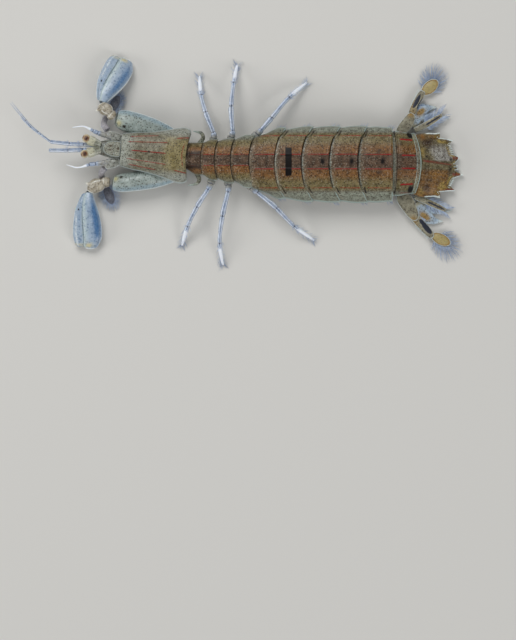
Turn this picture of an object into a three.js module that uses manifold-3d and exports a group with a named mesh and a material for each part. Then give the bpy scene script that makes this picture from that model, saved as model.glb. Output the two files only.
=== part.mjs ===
// A squillid mantis shrimp about 55 mm long, made as a still, life-size model that rests on a table.
// The animal lies on its belly with its claws swung out to both sides and its walking legs spread.
// Millimetres. +X runs from head to tail, +Y is the animal's right-hand side, +Z is up, and the
// table is the plane z = 0. The origin is on the table, at the middle of the whole outline; the
// coordinates below lie off it by ORIGIN_SHIFT.
import * as THREE from "three";
import { mergeVertices } from "three/addons/utils/BufferGeometryUtils.js";
import Module from "manifold-3d";

const wasm = await Module();
wasm.setup();

// Driving dimensions.
const CLEARANCE = 0.1; // between neighbouring pieces
const COARSENESS = 0.03; // how far a facet may lie from the shape it stands for
const THINNEST = 0.25; // half thickness of feelers, fins and leg tips
const HEAD_HINGE = new THREE.Vector3(-7.95, 0.6, 0); // middle of the carapace's rear edge
const HEAD_YAW = THREE.MathUtils.degToRad(-5.3); // the head turns a little to the right
const CARAPACE_LENGTH = 9.75;
const REAR_LOBE_REACH = 0.6;
const REAR_LOBE_SPREAD = 3.6; // half the distance between the two rear corners
const REAR_LOBE_START = 3; // before the rear edge
const ROSTRUM_LENGTH = 2.5;
const ROSTRUM_HALF_WIDTH = 1.15;
const ROSTRUM_TOP = 5.35;
const PLATE_THICKNESS = 0.5;
const ORIGIN_SHIFT = new THREE.Vector3(0.156, 0.146, 0); // brings the middle of the outline to x = y = 0
const BACK_HEIGHT = 6.3; // highest point of the abdomen
const ABDOMEN_MIDDLE = -0.6;
const FLAP_START = 3.4; // where a ring's side flap starts, from the middle
const FLAP_WIDTH = 2.35;
const CLAW_HALF_THICKNESS = 1.15;
const LEG_RADII = [0.6, 0.5, 0.42, 0.4, 0.36, 0.27];
const LEG_HEIGHTS = [2.9, 3.1, 3.3, 1.9, 0.24];
const TELSON_HALF_WIDTH = 4.85;
const TELSON_FRONT = new THREE.Vector3(26.75, -0.6, 2.37);
const TELSON_TIPS = { right: 6.15, left: 6.75 }; // hindmost teeth: the right one is worn down
const TELSON_TILT = THREE.MathUtils.degToRad(17.5);

// Colours of the shell, as plain materials.
const finish = (color, roughness = 0.45) =>
  new THREE.MeshStandardMaterial({ color, roughness, metalness: 0 });
const MATERIALS = {
  back: finish(0x7d5c38),
  shield: finish(0x8c8a68),
  claw: finish(0x9fb6c8, 0.3),
  merus: finish(0xa3aba0),
  limb: finish(0xc3cfe2, 0.35),
  underside: finish(0xb9c0b4),
  eye: finish(0x7d5a3c, 0.2),
  tail: finish(0x8a5a20),
  fin: finish(0xaeb8c4, 0.35),
  leaf: finish(0xa9a49c, 0.4),
};

// Positions only, with shared vertices merged, as a closed mesh needs.
function bare(geometry) {
  const plain = new THREE.BufferGeometry().setAttribute("position", geometry.attributes.position.clone());
  if (geometry.index) plain.setIndex(geometry.index.clone());
  return mergeVertices(plain, 1e-4);
}

function signedVolume(geometry) {
  const { position } = geometry.attributes;
  const index = geometry.index.array;
  const corner = [new THREE.Vector3(), new THREE.Vector3(), new THREE.Vector3()];
  let total = 0;
  for (let i = 0; i < index.length; i += 3) {
    corner.forEach((point, k) => point.fromBufferAttribute(position, index[i + k]));
    total += corner[0].dot(corner[1].clone().cross(corner[2]));
  }
  return total / 6;
}

function facingOut(geometry) {
  if (signedVolume(geometry) > 0) return geometry;
  const index = geometry.index.array;
  for (let i = 0; i < index.length; i += 3) {
    [index[i + 1], index[i + 2]] = [index[i + 2], index[i + 1]];
  }
  return geometry;
}

// A closed cylinder reshaped by place(along 0 to 1, angle, spread 0 or 1).
function reshaped(sides, rows, place) {
  const geometry = bare(new THREE.CylinderGeometry(1, 1, 1, sides, rows));
  const { position } = geometry.attributes;
  for (let i = 0; i < position.count; i += 1) {
    const angle = Math.atan2(position.getZ(i), position.getX(i));
    const spread = Math.min(1, Math.hypot(position.getX(i), position.getZ(i)));
    const point = place(position.getY(i) + 0.5, angle, spread);
    position.setXYZ(i, point.x, point.y, point.z);
  }
  return facingOut(geometry);
}

// Nothing reaches under the table: what would is pressed flat on it.
function settled(geometry) {
  const { position } = geometry.attributes;
  for (let i = 0; i < position.count; i += 1) position.setZ(i, Math.max(0, position.getZ(i)));
  return geometry;
}

// The value at `along` (0 to 1) of evenly spaced values, eased between them.
function between(values, along) {
  const place = along * (values.length - 1);
  const low = Math.min(values.length - 2, Math.floor(place));
  const share = place - low;
  const before = values[Math.max(0, low - 1)];
  const after = values[Math.min(values.length - 1, low + 2)];
  const [a, b] = [values[low], values[low + 1]];
  const [slopeA, slopeB] = [(b - before) / 2, (after - a) / 2];
  const [s2, s3] = [share ** 2, share ** 3];
  const leaving = a * (2 * s3 - 3 * s2 + 1) + slopeA * (s3 - 2 * s2 + share);
  const arriving = b * (3 * s2 - 2 * s3) + slopeB * (s3 - s2);
  return leaving + arriving;
}

// A limb: a tube of oval section through points. `wide` and `tall` are half sizes along it, and
// `side` fixes the direction of the width where it isn't simply level and square to the path.
function limb({ points, wide, tall = wide, sides = 8, rows = 12, side = null }) {
  const stops = points.map((p) => new THREE.Vector3(...p));
  const curve = new THREE.CatmullRomCurve3(stops, false, "catmullrom", 0.5);
  const up = new THREE.Vector3(0, 0, 1);
  return settled(
    reshaped(sides, rows, (along, angle, spread) => {
      const tangent = curve.getTangent(along);
      const across = side ? side.clone() : up.clone().cross(tangent).normalize();
      const rise = tangent.clone().cross(across).normalize();
      return curve
        .getPoint(along)
        .addScaledVector(across, spread * Math.cos(angle) * between(wide, along))
        .addScaledVector(rise, spread * Math.sin(angle) * between(tall, along));
    }),
  );
}

// A body ring or shield: an arched back over a flatter belly. Each station is
// [x, middle y, half width, top z, edge z, belly z].
function shield({ stations, sides = 20, rows = 6, place = (x, y, z) => new THREE.Vector3(x, y, z) }) {
  const at = (column, along) => between(stations.map((s) => s[column]), along);
  return reshaped(sides, rows, (along, angle, spread) => {
    const [x, middle, half, top, edge, belly] = [0, 1, 2, 3, 4, 5].map((column) => at(column, along));
    const [c, s] = [Math.cos(angle), Math.sin(angle)];
    const y = middle + spread * half * Math.sign(c) * Math.abs(c) ** 0.8;
    const reach = s > 0 ? (top - edge) * s ** 0.9 : (belly - edge) * Math.abs(s) ** 0.55;
    return place(x, y, edge + spread * reach);
  });
}

// From the head's own frame, with x = 0 at the carapace's rear edge, to the part's frame.
function headPoint(x, y, z) {
  return new THREE.Vector3(x, y, z).applyAxisAngle(new THREE.Vector3(0, 0, 1), HEAD_YAW).add(HEAD_HINGE);
}

function solidOf(geometry) {
  return new wasm.Manifold(
    new wasm.Mesh({
      numProp: 3,
      vertProperties: new Float32Array(geometry.attributes.position.array),
      triVerts: new Uint32Array(geometry.index.array),
    }),
  );
}

function geometryOf(solid) {
  const mesh = solid.getMesh();
  return new THREE.BufferGeometry()
    .setAttribute("position", new THREE.BufferAttribute(new Float32Array(mesh.vertProperties), 3))
    .setIndex(new THREE.BufferAttribute(new Uint32Array(mesh.triVerts), 1));
}

function joined(...geometries) {
  return geometryOf(geometries.map(solidOf).reduce((a, b) => a.add(b)));
}

// The same shape, pushed out along its normals by the clearance.
function grown(geometry) {
  const larger = geometry.clone();
  larger.computeVertexNormals();
  const { position, normal } = larger.attributes;
  for (let i = 0; i < position.count; i += 1) {
    position.setXYZ(
      i,
      position.getX(i) + normal.getX(i) * CLEARANCE,
      position.getY(i) + normal.getY(i) * CLEARANCE,
      position.getZ(i) + normal.getZ(i) * CLEARANCE,
    );
  }
  return larger;
}

// What is left of a piece beside its neighbours: its largest body.
function trimmed(geometry, neighbours) {
  const cut = neighbours.reduce((left, other) => left.subtract(solidOf(grown(other))), solidOf(geometry));
  const bodies = cut.decompose().sort((a, b) => b.volume() - a.volume());
  return geometryOf(bodies[0]);
}

const shapes = {}; // name: geometry before it is trimmed
const pieces = []; // what becomes a mesh: { name, region, material, geometry }
const root = new THREE.Group();
const regions = Object.fromEntries(
  ["head", "claws", "thorax", "abdomen", "tail"].map((name) => [name, new THREE.Group()]),
);
Object.values(regions).forEach((group) => {
  group.position.copy(ORIGIN_SHIFT);
  root.add(group);
});

// Files a piece under its name. `beside` names the earlier pieces that it must stay clear of.
function piece(name, region, material, geometry, beside = []) {
  shapes[name] = geometry;
  const cut = beside.length ? trimmed(geometry, beside.map((other) => shapes[other])) : geometry;
  pieces.push({ name, region, material, geometry: geometryOf(solidOf(cut).simplify(COARSENESS)) });
}

const SIDES = [
  ["right", 1],
  ["left", -1],
];

// The carapace's rear corners reach back past the middle of its rear edge.
function carapacePoint(x, y, z) {
  const rear = THREE.MathUtils.clamp(1 + x / REAR_LOBE_START, 0, 1);
  return headPoint(x + REAR_LOBE_REACH * rear * (y / REAR_LOBE_SPREAD) ** 2, y, z);
}

// Head: the carapace shield, the small rostral plate before it, and the body under both.
piece("carapace", "head", "shield", shield({
  rows: 8,
  sides: 18,
  place: carapacePoint,
  stations: [
    [-CARAPACE_LENGTH, 0, 2.45, 5.15, 3.95, 3.75],
    [-8.3, 0, 2.75, 5.5, 3.75, 3.5],
    [-5.6, 0, 3.1, 5.85, 3.55, 3.25],
    [-3.1, 0, 3.65, 6.05, 3.4, 3.1],
    [-1.3, 0, 4.2, 6.1, 3.3, 3.05],
    [-0.35, 0, 3.95, 5.95, 3.35, 3.1],
    [0, 0, 3.3, 5.75, 3.5, 3.3],
  ],
}));

function rostralPlate() {
  const outline = new THREE.Shape();
  const rear = -CARAPACE_LENGTH - CLEARANCE;
  outline.moveTo(rear, -ROSTRUM_HALF_WIDTH);
  outline.lineTo(rear, ROSTRUM_HALF_WIDTH);
  outline.quadraticCurveTo(
    rear - ROSTRUM_LENGTH * 0.55, ROSTRUM_HALF_WIDTH,
    rear - ROSTRUM_LENGTH * 0.8, 0.45,
  );
  outline.quadraticCurveTo(rear - ROSTRUM_LENGTH, 0.25, rear - ROSTRUM_LENGTH, 0);
  outline.quadraticCurveTo(rear - ROSTRUM_LENGTH, -0.25, rear - ROSTRUM_LENGTH * 0.8, -0.45);
  outline.quadraticCurveTo(rear - ROSTRUM_LENGTH * 0.55, -ROSTRUM_HALF_WIDTH, rear, -ROSTRUM_HALF_WIDTH);
  const plate = bare(new THREE.ExtrudeGeometry(outline, {
    depth: PLATE_THICKNESS,
    bevelEnabled: false,
    curveSegments: 4,
  }));
  const { position } = plate.attributes;
  for (let i = 0; i < position.count; i += 1) {
    const point = headPoint(
      position.getX(i),
      position.getY(i),
      position.getZ(i) + ROSTRUM_TOP - PLATE_THICKNESS - 0.1 * position.getY(i) ** 2,
    );
    position.setXYZ(i, point.x, point.y, point.z);
  }
  return facingOut(plate);
}
piece("rostral_plate", "head", "shield", rostralPlate());

piece("cephalothorax", "head", "underside", shield({
  rows: 8,
  sides: 10,
  place: headPoint,
  stations: [
    [-13.2, 0, 0.6, 4.6, 4.2, 3.85],
    [-12.2, 0, 0.95, 4.7, 4.0, 3.5],
    [-10.8, 0, 1.35, 4.7, 3.7, 2.9],
    [-9.4, 0, 2.0, 4.6, 3.2, 2.2],
    [-7, 0, 2.3, 4.4, 2.6, 1.7],
    [-4.5, 0, 2.3, 4.4, 2.4, 1.45],
    [-2, 0, 2.35, 4.4, 2.4, 1.5],
    [-0.1, 0, 2.0, 4.4, 2.6, 1.9],
  ],
}), ["carapace", "rostral_plate"]);

// Eyes: a stalk that widens to a short two-lobed cornea.
const EYES = {
  right: { base: [-20.7, 2.15, 4.6], neck: [-22.45, 2.95, 5.05], cornea: [-22.85, 3.15, 5.15], radius: 0.74 },
  left: { base: [-20.7, 1.45, 4.6], neck: [-22.6, 0.97, 5.05], cornea: [-23.15, 0.83, 5.15], radius: 0.72 },
};
SIDES.forEach(([side]) => {
  const { base, neck, cornea, radius } = EYES[side];
  const middle = base.map((value, k) => (value + neck[k]) / 2);
  piece(`cornea_${side}`, "head", "eye", facingOut(
    bare(new THREE.SphereGeometry(radius, 10, 7))
      .scale(0.85, 1, 0.95)
      .translate(...cornea),
  ));
  piece(`eyestalk_${side}`, "head", "underside", limb({
    points: [base, middle, neck],
    wide: [0.38, 0.48, 0.6],
    sides: 10,
    rows: 4,
  }), ["cornea_" + side, "cephalothorax", "rostral_plate"]);
});

// Antennules: three long joints each. The right one keeps its whip, and the left one ends at its
// third joint.
const ANTENNULES = {
  right: {
    points: [[-21, 2.25, 3.95], [-23.5, 2.3, 3.9], [-25.5, 2.4, 4], [-28.2, 2.65, 4.3], [-29.9, 3.9, 4.7],
      [-31.2, 4.95, 5], [-32.5, 6.35, 5.2], [-34.2, 8.5, 5.3]],
    wide: [0.34, 0.32, 0.3, 0.28, 0.25, 0.25, 0.25, 0.25],
    rows: 15,
  },
  left: {
    points: [[-21, 1.48, 3.95], [-23.7, 1.48, 3.9], [-25.7, 1.4, 4], [-28.5, 1.4, 4.3]],
    wide: [0.34, 0.32, 0.3, 0.28],
    rows: 5,
  },
};
SIDES.forEach(([side]) => {
  piece(`antennule_${side}`, "head", "limb", limb({ ...ANTENNULES[side], sides: 6 }), [
    "cephalothorax", "eyestalk_" + side, "cornea_" + side,
  ]);
});

// Antennae: a broad flat base joint, two narrow joints and a short whip.
const ANTENNAE = {
  right: [[-17.95, 3.45, 4], [-18.9, 3.5, 4.05], [-19.8, 3.6, 4.1], [-21.1, 4, 4.15], [-21.8, 4.3, 4.2],
    [-22.95, 4.88, 4.3], [-23.7, 4.98, 4.35], [-25, 4.82, 4.4]],
  left: [[-18.15, -0.3, 4], [-19, -0.3, 4.05], [-19.9, -0.35, 4.1], [-21.4, -0.6, 4.15], [-22.4, -0.72, 4.2],
    [-23.6, -1.1, 4.3], [-24.5, -1.15, 4.35], [-25.9, -0.75, 4.4]],
};
SIDES.forEach(([side]) => {
  piece(`antenna_${side}`, "head", "limb", limb({
    points: ANTENNAE[side],
    wide: [0.7, 0.95, 0.62, 0.36, 0.3, 0.25, 0.25, 0.25],
    tall: [0.35, 0.42, 0.38, 0.33, 0.3, 0.25, 0.25, 0.25],
    sides: 6,
    rows: 13,
  }), ["carapace", "cephalothorax", "rostral_plate", "eyestalk_" + side]);
});

// Antennal scales: a short stalk that dips under the claw, then an oval fan out to its hair tips.
const SCALES = {
  right: [[-19.75, 4.5, 3.35], [-20.3, 5.3, 2.4], [-20.1, 6.4, 1.3], [-19.3, 7.6, 0.8], [-18.4, 9, 0.62],
    [-17.6, 10.2, 0.5]],
  left: [[-20.2, -1.2, 3.3], [-20.7, -2, 2.4], [-20.55, -2.9, 1.3], [-20, -4.1, 0.8], [-19.3, -5.9, 0.62],
    [-18.7, -7.7, 0.5]],
};
SIDES.forEach(([side]) => {
  piece(`antennal_scale_${side}`, "head", "fin", limb({
    points: SCALES[side],
    wide: [0.38, 0.36, 0.42, 1.15, 1.6, 0.5],
    tall: [0.32, 0.3, 0.28, 0.26, THINNEST, THINNEST],
    rows: 10,
  }), ["antenna_" + side]);
});

// Raptorial claws: merus along the carapace, short wrist (carpus), broad flat propodus of the given
// `length`, and the folding finger (dactylus), shut along the propodus on the side of the head.
const CLAWS = {
  right: {
    length: 8.05,
    merus: [
      [-8.8, 3.35, 2.35], [-10.6, 3.95, 2.4], [-13.5, 4.95, 2.6], [-17.1, 5.9, 2.95], [-18.6, 6.3, 3.1],
    ],
    merusWide: [0.55, 1, 1.5, 1.6, 0.8],
    carpus: [[-18.8, 6.45, 3.15], [-19.4, 6.95, 3.4], [-20.2, 7.65, 3.45], [-20.65, 8.4, 3.3]],
    wrist: new THREE.Vector3(-20.65, 8.35, 3.05),
    heading: new THREE.Vector3(-17.5, 15.4, 0.5),
  },
  left: {
    length: 8.6,
    merus: [
      [-8.8, -2.1, 2.35], [-10.6, -2.5, 2.4], [-13.5, -2.95, 2.5], [-17.6, -3.4, 2.5], [-19.1, -3.35, 2.45],
    ],
    merusWide: [0.55, 1, 1.4, 1.3, 0.8],
    carpus: [[-19.4, -3.35, 2.4], [-20.4, -3.3, 2.35], [-21.7, -3.75, 2.15], [-22.3, -4.75, 1.8]],
    wrist: new THREE.Vector3(-22.6, -4.5, 1.4),
    heading: new THREE.Vector3(-22.95, -13.1, 0.9),
  },
};
// Half outline of a shut claw, from the wrist to the tip: offsets of the finger's outer edge, of
// the seam between finger and propodus, and of the propodus's free edge.
const FINGER_EDGE = [-1.15, -1.85, -2.15, -2.2, -2.1, -1.75, -0.95];
const SEAM = [-0.75, -1.15, -0.95, -0.75, -0.5, -0.3, -0.3];
const FREE_EDGE = [0.5, 1.2, 1.75, 2.05, 2.15, 1.9, 0.7];

function clawBlade(side, inner, outer, from, to, thickness) {
  const { length, wrist, heading } = CLAWS[side];
  const ahead = heading.clone().sub(wrist).normalize();
  // Towards the propodus's free edge, which faces the tail, level with the table.
  const aft = new THREE.Vector3(0, 0, 1).cross(ahead).normalize();
  if (aft.x < 0) aft.negate();
  const steps = 9;
  const points = [];
  const wide = [];
  for (let i = 0; i < steps; i += 1) {
    const share = from + ((to - from) * i) / (steps - 1);
    const [a, b] = [between(inner, share), between(outer, share)];
    const point = wrist.clone().addScaledVector(ahead, share * length);
    points.push(point.addScaledVector(aft, (a + b) / 2).toArray());
    wide.push((b - a) / 2);
  }
  return limb({ points, wide, tall: thickness, side: aft, sides: 10, rows: 8 });
}
SIDES.forEach(([side]) => {
  piece(`claw_merus_${side}`, "claws", "merus", limb({
    points: CLAWS[side].merus,
    wide: CLAWS[side].merusWide,
    tall: [0.65, 1, 1.4, 1.55, 0.9],
    sides: 12,
    rows: 8,
  }), ["carapace", "cephalothorax", "antenna_" + side, "antennal_scale_" + side]);
  piece(`claw_carpus_${side}`, "claws", "merus", limb({
    points: CLAWS[side].carpus,
    wide: [0.75, 1.1, 1.35, 0.95],
    tall: [0.7, 1, 1.05, 0.85],
    sides: 10,
    rows: 5,
  }), ["claw_merus_" + side, "antennal_scale_" + side, "antenna_" + side]);
  piece(`claw_propodus_${side}`, "claws", "claw", clawBlade(
    side, SEAM, FREE_EDGE, 0, 0.99, [0.6, 0.95, CLAW_HALF_THICKNESS, CLAW_HALF_THICKNESS, 1.1, 0.9, 0.4],
  ), ["claw_carpus_" + side, "antennal_scale_" + side]);
  piece(`claw_dactylus_${side}`, "claws", "claw", clawBlade(
    side, FINGER_EDGE, SEAM, 0.06, 0.97, [0.3, 0.5, 0.65, 0.75, 0.75, 0.65, 0.35],
  ), ["claw_carpus_" + side, "claw_propodus_" + side]);
});

// Mouth limbs under the head: the large hinder pair and the small fore pair.
SIDES.forEach(([side, sign]) => {
  const points = (list) => list.map(([x, y, z]) => headPoint(x, sign * y, z).toArray());
  piece(`maxilliped_large_${side}`, "head", "leaf", limb({
    points: points([[-1.5, 0.95, 1.1], [-3.4, 1.5, 0.9], [-5.2, 1.4, 0.8], [-6.6, 0.9, 0.8]]),
    wide: [0.3, 0.5, 0.45, 0.3],
    tall: [0.3, 0.35, 0.35, 0.3],
    rows: 9,
  }), ["cephalothorax", "claw_merus_" + side]);
  piece(`maxilliped_small_${side}`, "head", "leaf", limb({
    points: points([[-9.3, 0.55, 1.8], [-8.4, 1.05, 1.4], [-7.2, 1.7, 1.1]]),
    wide: [0.27, 0.45, 0.27],
    tall: [0.27, 0.33, 0.27],
    rows: 6,
  }), ["cephalothorax", "claw_merus_" + side]);
});

// Thorax: four free rings. The first carries a sickle-shaped process on each side.
const THORAX_RINGS = [
  { from: -7.75, to: -5.75, middle: [0.5, 0.2], half: [2.15, 2.5], top: [5.35, 5.5] },
  { from: -5.65, to: -3.7, middle: [0.15, 0.05], half: [2.6, 3.15], top: [5.5, 5.7] },
  { from: -3.6, to: -1.3, middle: [0, -0.1], half: [2.95, 3.45], top: [5.65, 5.85] },
  { from: -1.2, to: 1.5, middle: [-0.1, -0.2], half: [3.3, 4.05], top: [5.75, 5.95] },
];
const SICKLES = {
  right: [[-6.4, 2, 3.1], [-5.75, 2.75, 3.2], [-5.4, 3.4, 3.3], [-5.75, 4.05, 3.35], [-6.9, 4.3, 3.35]],
  left: [[-6.6, -1.6, 3.1], [-6.15, -2.45, 3.2], [-6, -3, 3.3], [-6.4, -3.55, 3.35], [-7.7, -3.8, 3.35]],
};
THORAX_RINGS.forEach(({ from, to, middle, half, top }, i) => {
  const ring = shield({
    rows: 5,
    stations: [
      [from, middle[0], half[0] * 0.96, top[0] - 0.1, 3.2, 2.2],
      [from + (to - from) * 0.3, middle[0], half[0] * 0.4 + half[1] * 0.6, top[0], 3, 2],
      [from + (to - from) * 0.75, middle[1], half[1], top[1], 2.9, 2],
      [to, middle[1], half[1] * 0.98, top[1], 2.95, 2.2],
    ],
  });
  const sickles = SIDES.map(([side]) => limb({
    points: SICKLES[side],
    wide: [0.4, 0.36, 0.3, 0.28, THINNEST],
    sides: 6,
    rows: 7,
  }));
  const isFirst = i === 0;
  const neighbour = i === 1 ? "thorax_ring_5" : "carapace";
  piece(`thorax_ring_${i + 5}`, "thorax", "back", isFirst ? joined(ring, ...sickles) : ring, [neighbour]);
});

// Walking legs: a knob at the body, three joints and a brush-tipped foot on the table.
const LEGS = {
  right_1: [[-3.9, 2.9], [-3.85, 4], [-4.95, 6.9], [-5.7, 9.65], [-6, 12.75]],
  right_2: [[-1.3, 3.1], [-1, 4.2], [-1.2, 7.75], [-0.85, 11.5], [-0.3, 14.5]],
  right_3: [[2.2, 3.4], [3.3, 4.5], [4.7, 6.1], [7.35, 9.3], [10.2, 11.8]],
  left_1: [[-4.1, -3], [-4.6, -4.3], [-6.2, -6.8], [-7.7, -9.75], [-8.65, -12.8]],
  left_2: [[-1.7, -3.3], [-1.65, -4.6], [-2.45, -8.05], [-2.95, -12.25], [-2.45, -15.75]],
  left_3: [[1.4, -3.7], [2.6, -4.75], [5.35, -7], [8.1, -9.75], [11.3, -12]],
};
Object.entries(LEGS).forEach(([name, plan]) => {
  const ring = "thorax_ring_" + (Number(name.slice(-1)) + 5);
  piece(`leg_${name}`, "thorax", "limb", limb({
    points: plan.map(([x, y], i) => [x, y, LEG_HEIGHTS[i]]),
    wide: LEG_RADII,
    sides: 7,
    rows: 9,
  }), name.endsWith("3") ? [ring] : [ring, "thorax_ring_" + (Number(name.slice(-1)) + 6)]);
});

// Abdomen: six rings, each a broad arched plate with side flaps that hang past the belly. The rear
// edge of a flap lies back from the ring's own by `bow`.
const ABDOMEN_RINGS = [
  { from: 1.65, to: 5.5, middle: -0.45, half: [4.15, 5.4], top: 6.1, edge: 2.5, bow: 1.4 },
  { from: 5.65, to: 9.45, middle: -0.57, half: [5.35, 5.75], top: BACK_HEIGHT, edge: 2.2, bow: 1.3 },
  { from: 9.6, to: 13.6, middle: -0.6, half: [5.65, 5.8], top: BACK_HEIGHT, edge: 2.1, bow: 1.2 },
  { from: 13.75, to: 17.85, middle: -0.63, half: [5.7, 5.85], top: BACK_HEIGHT, edge: 2.1, bow: 1 },
  { from: 18, to: 22.95, middle: -0.65, half: [5.75, 5.65], top: 6, edge: 2.2, bow: 0 },
  { from: 23.1, to: 26.6, middle: -0.5, half: [5, 4.45], top: 5.2, edge: 2.3, bow: 0 },
];
ABDOMEN_RINGS.forEach(({ from, to, middle, half, top, edge, bow }, i) => {
  const along = (share) => from + (to - from) * share;
  const drop = i === 5 ? 0.6 : 0;
  const bowBefore = i === 0 ? 0 : ABDOMEN_RINGS[i - 1].bow;
  piece(`abdomen_ring_${i + 1}`, "abdomen", "back", shield({
    rows: 4,
    sides: 22,
    place: (x, y, z) => {
      const share = (x - from) / (to - from);
      const outer = THREE.MathUtils.clamp((Math.abs(y - ABDOMEN_MIDDLE) - FLAP_START) / FLAP_WIDTH, 0, 1);
      return new THREE.Vector3(x + (bowBefore * (1 - share) + bow * share) * outer ** 2, y, z);
    },
    stations: [
      [along(0), middle, half[0] * 0.97, top - 0.15, edge + 0.15, 1.9],
      [along(0.25), middle, (half[0] * 2 + half[1]) / 3, top, edge, 1.8],
      [along(0.7), middle, half[1], top - drop * 0.6, edge - 0.1, 1.8],
      [along(1), middle, half[1] * 0.985, top - drop, edge - 0.05, 1.9],
    ],
  }), i === 0 ? ["leg_right_3", "leg_left_3"] : [`abdomen_ring_${i}`]);
});

// Swimming legs: a pair of overlapping leaves under each of the first five abdomen rings.
ABDOMEN_RINGS.slice(0, 5).forEach(({ from, to, middle, half }, i) => {
  SIDES.forEach(([side, sign]) => {
    const rootY = middle + sign * half[0] * 0.5;
    const tipX = to + 0.35;
    piece(`pleopod_${i + 1}_${side}`, "abdomen", "leaf", limb({
      points: [
        [from + 0.5, rootY, 1.45],
        [from + 1.6, rootY, 1.25],
        [(from + tipX) / 2 + 0.7, middle + sign * half[0] * 0.44, 0.85],
        [tipX, middle + sign * half[0] * 0.36, 0.42],
      ],
      wide: [half[0] * 0.2, half[0] * 0.34, half[0] * 0.36, half[0] * 0.16],
      tall: [THINNEST, THINNEST, THINNEST, THINNEST],
      rows: 4,
    }), ["abdomen_ring_" + (i + 1)]);
  });
});

// Tail fan: telson with its three pairs of marginal teeth and the rows of denticles between.
function denticles(from, to, count, depth) {
  const row = [];
  for (let i = 0; i < count; i += 1) {
    [[0.2, 0], [0.5, depth], [0.8, 0]].forEach(([k, push]) => {
      const share = (i + k) / count;
      row.push([from[0] + (to[0] - from[0]) * share + push, from[1] + (to[1] - from[1]) * share]);
    });
  }
  return row;
}

// Half of the telson's margin, from its front corner to its middle, as distances back and aside.
function telsonMargin(tip) {
  return [
    [0, TELSON_HALF_WIDTH * 0.8],
    [0.6, TELSON_HALF_WIDTH * 0.93],
    [2.1, TELSON_HALF_WIDTH * 0.96],
    [3.25, TELSON_HALF_WIDTH * 0.985],
    [2.95, 4.3],
    [3.6, 4.05],
    [5.3, 3.75],
    [4.7, 3.2],
    ...denticles([4.7, 3.2], [5.5, 2.05], 3, 0.32),
    [5.6, 1.95],
    [tip, 1.55],
    [5.75, 1],
    ...denticles([5.75, 1], [5.6, 0.1], 2, 0.4),
  ];
}

function telson() {
  const right = telsonMargin(TELSON_TIPS.right).map(([x, y]) => new THREE.Vector2(x, y));
  const left = telsonMargin(TELSON_TIPS.left).map(([x, y]) => new THREE.Vector2(x, -y));
  const outline = new THREE.Shape([...right, ...left.reverse()]);
  const plate = bare(new THREE.ExtrudeGeometry(outline, { depth: PLATE_THICKNESS, bevelEnabled: false }));
  plate.translate(0, 0, -PLATE_THICKNESS / 2);
  const dome = bare(new THREE.SphereGeometry(1, 14, 8))
    .rotateX(Math.PI / 2)
    .scale(3.1, TELSON_HALF_WIDTH * 0.9, 1.45)
    .translate(2.7, 0, 0.1);
  const front = bare(new THREE.BoxGeometry(8, 20, 8)).translate(-4, 0, 0);
  const keel = bare(new THREE.SphereGeometry(1, 8, 6)).scale(2.6, 0.22, 0.4).translate(3.2, 0, 1.35);
  const [body, ...others] = [plate, dome, keel].map((geometry) => solidOf(facingOut(geometry)));
  const shell = others.reduce((a, b) => a.add(b), body).subtract(solidOf(facingOut(front)));
  return settled(geometryOf(shell).rotateY(TELSON_TILT).translate(...TELSON_FRONT.toArray()));
}
piece("telson", "tail", "tail", telson(), ["abdomen_ring_6"]);

// Uropods: a base with two spines below, a two-jointed outer blade and a one-jointed inner blade.
// The blades are drawn out to the tips of their hair fringes.
const UROPODS = {
  right: {
    base: [[24.5, 3.9, 2.1], [25, 5.6, 1.95], [25.6, 7, 1.6], [25.95, 7.65, 1.45]],
    spines: [
      [[26.2, 6.9, 0.95], [28, 7.5, 0.55], [29.65, 8, 0.3]],
      [[26.2, 6.7, 0.9], [29, 6.7, 0.35], [31.65, 6.5, 0.28]],
    ],
    outer: [[26.1, 7.95, 1.35], [26.75, 9.15, 1.1], [27.45, 10.35, 0.85]],
    outerWide: [0.45, 0.65, 0.55],
    fan: [[27.55, 10.5, 0.62], [28.4, 11.4, 0.45], [29.15, 12.7, 0.28], [29.7, 14, 0.25], [30, 14.95, 0.25]],
    inner: [[26.35, 4.5, 1.5], [27.6, 5.25, 1.25], [29, 6.2, 1], [30.9, 7.2, 0.8], [33, 8.2, 0.6]],
  },
  left: {
    base: [[24.5, -4.8, 2.1], [25.2, -6.5, 1.95], [26.1, -8, 1.6], [26.6, -8.7, 1.45]],
    spines: [
      [[26.9, -7.8, 0.95], [29, -8.5, 0.55], [30.6, -9.1, 0.3]],
      [[26.9, -7.5, 0.9], [29.6, -7.7, 0.35], [32.15, -7.45, 0.28]],
    ],
    outer: [[26.8, -8.95, 1.35], [27.8, -10.05, 1.1], [28.8, -11.1, 0.85]],
    outerWide: [0.5, 0.75, 0.62],
    fan: [
      [28.95, -11.25, 0.62], [29.95, -12, 0.45], [31.2, -12.95, 0.28], [32.3, -13.9, 0.25], [33, -14.8, 0.25],
    ],
    inner: [[26.4, -5.7, 1.5], [27.8, -6.2, 1.25], [29.6, -6.95, 1], [31.6, -7.8, 0.8], [33.9, -8.7, 0.6]],
  },
};
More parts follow.
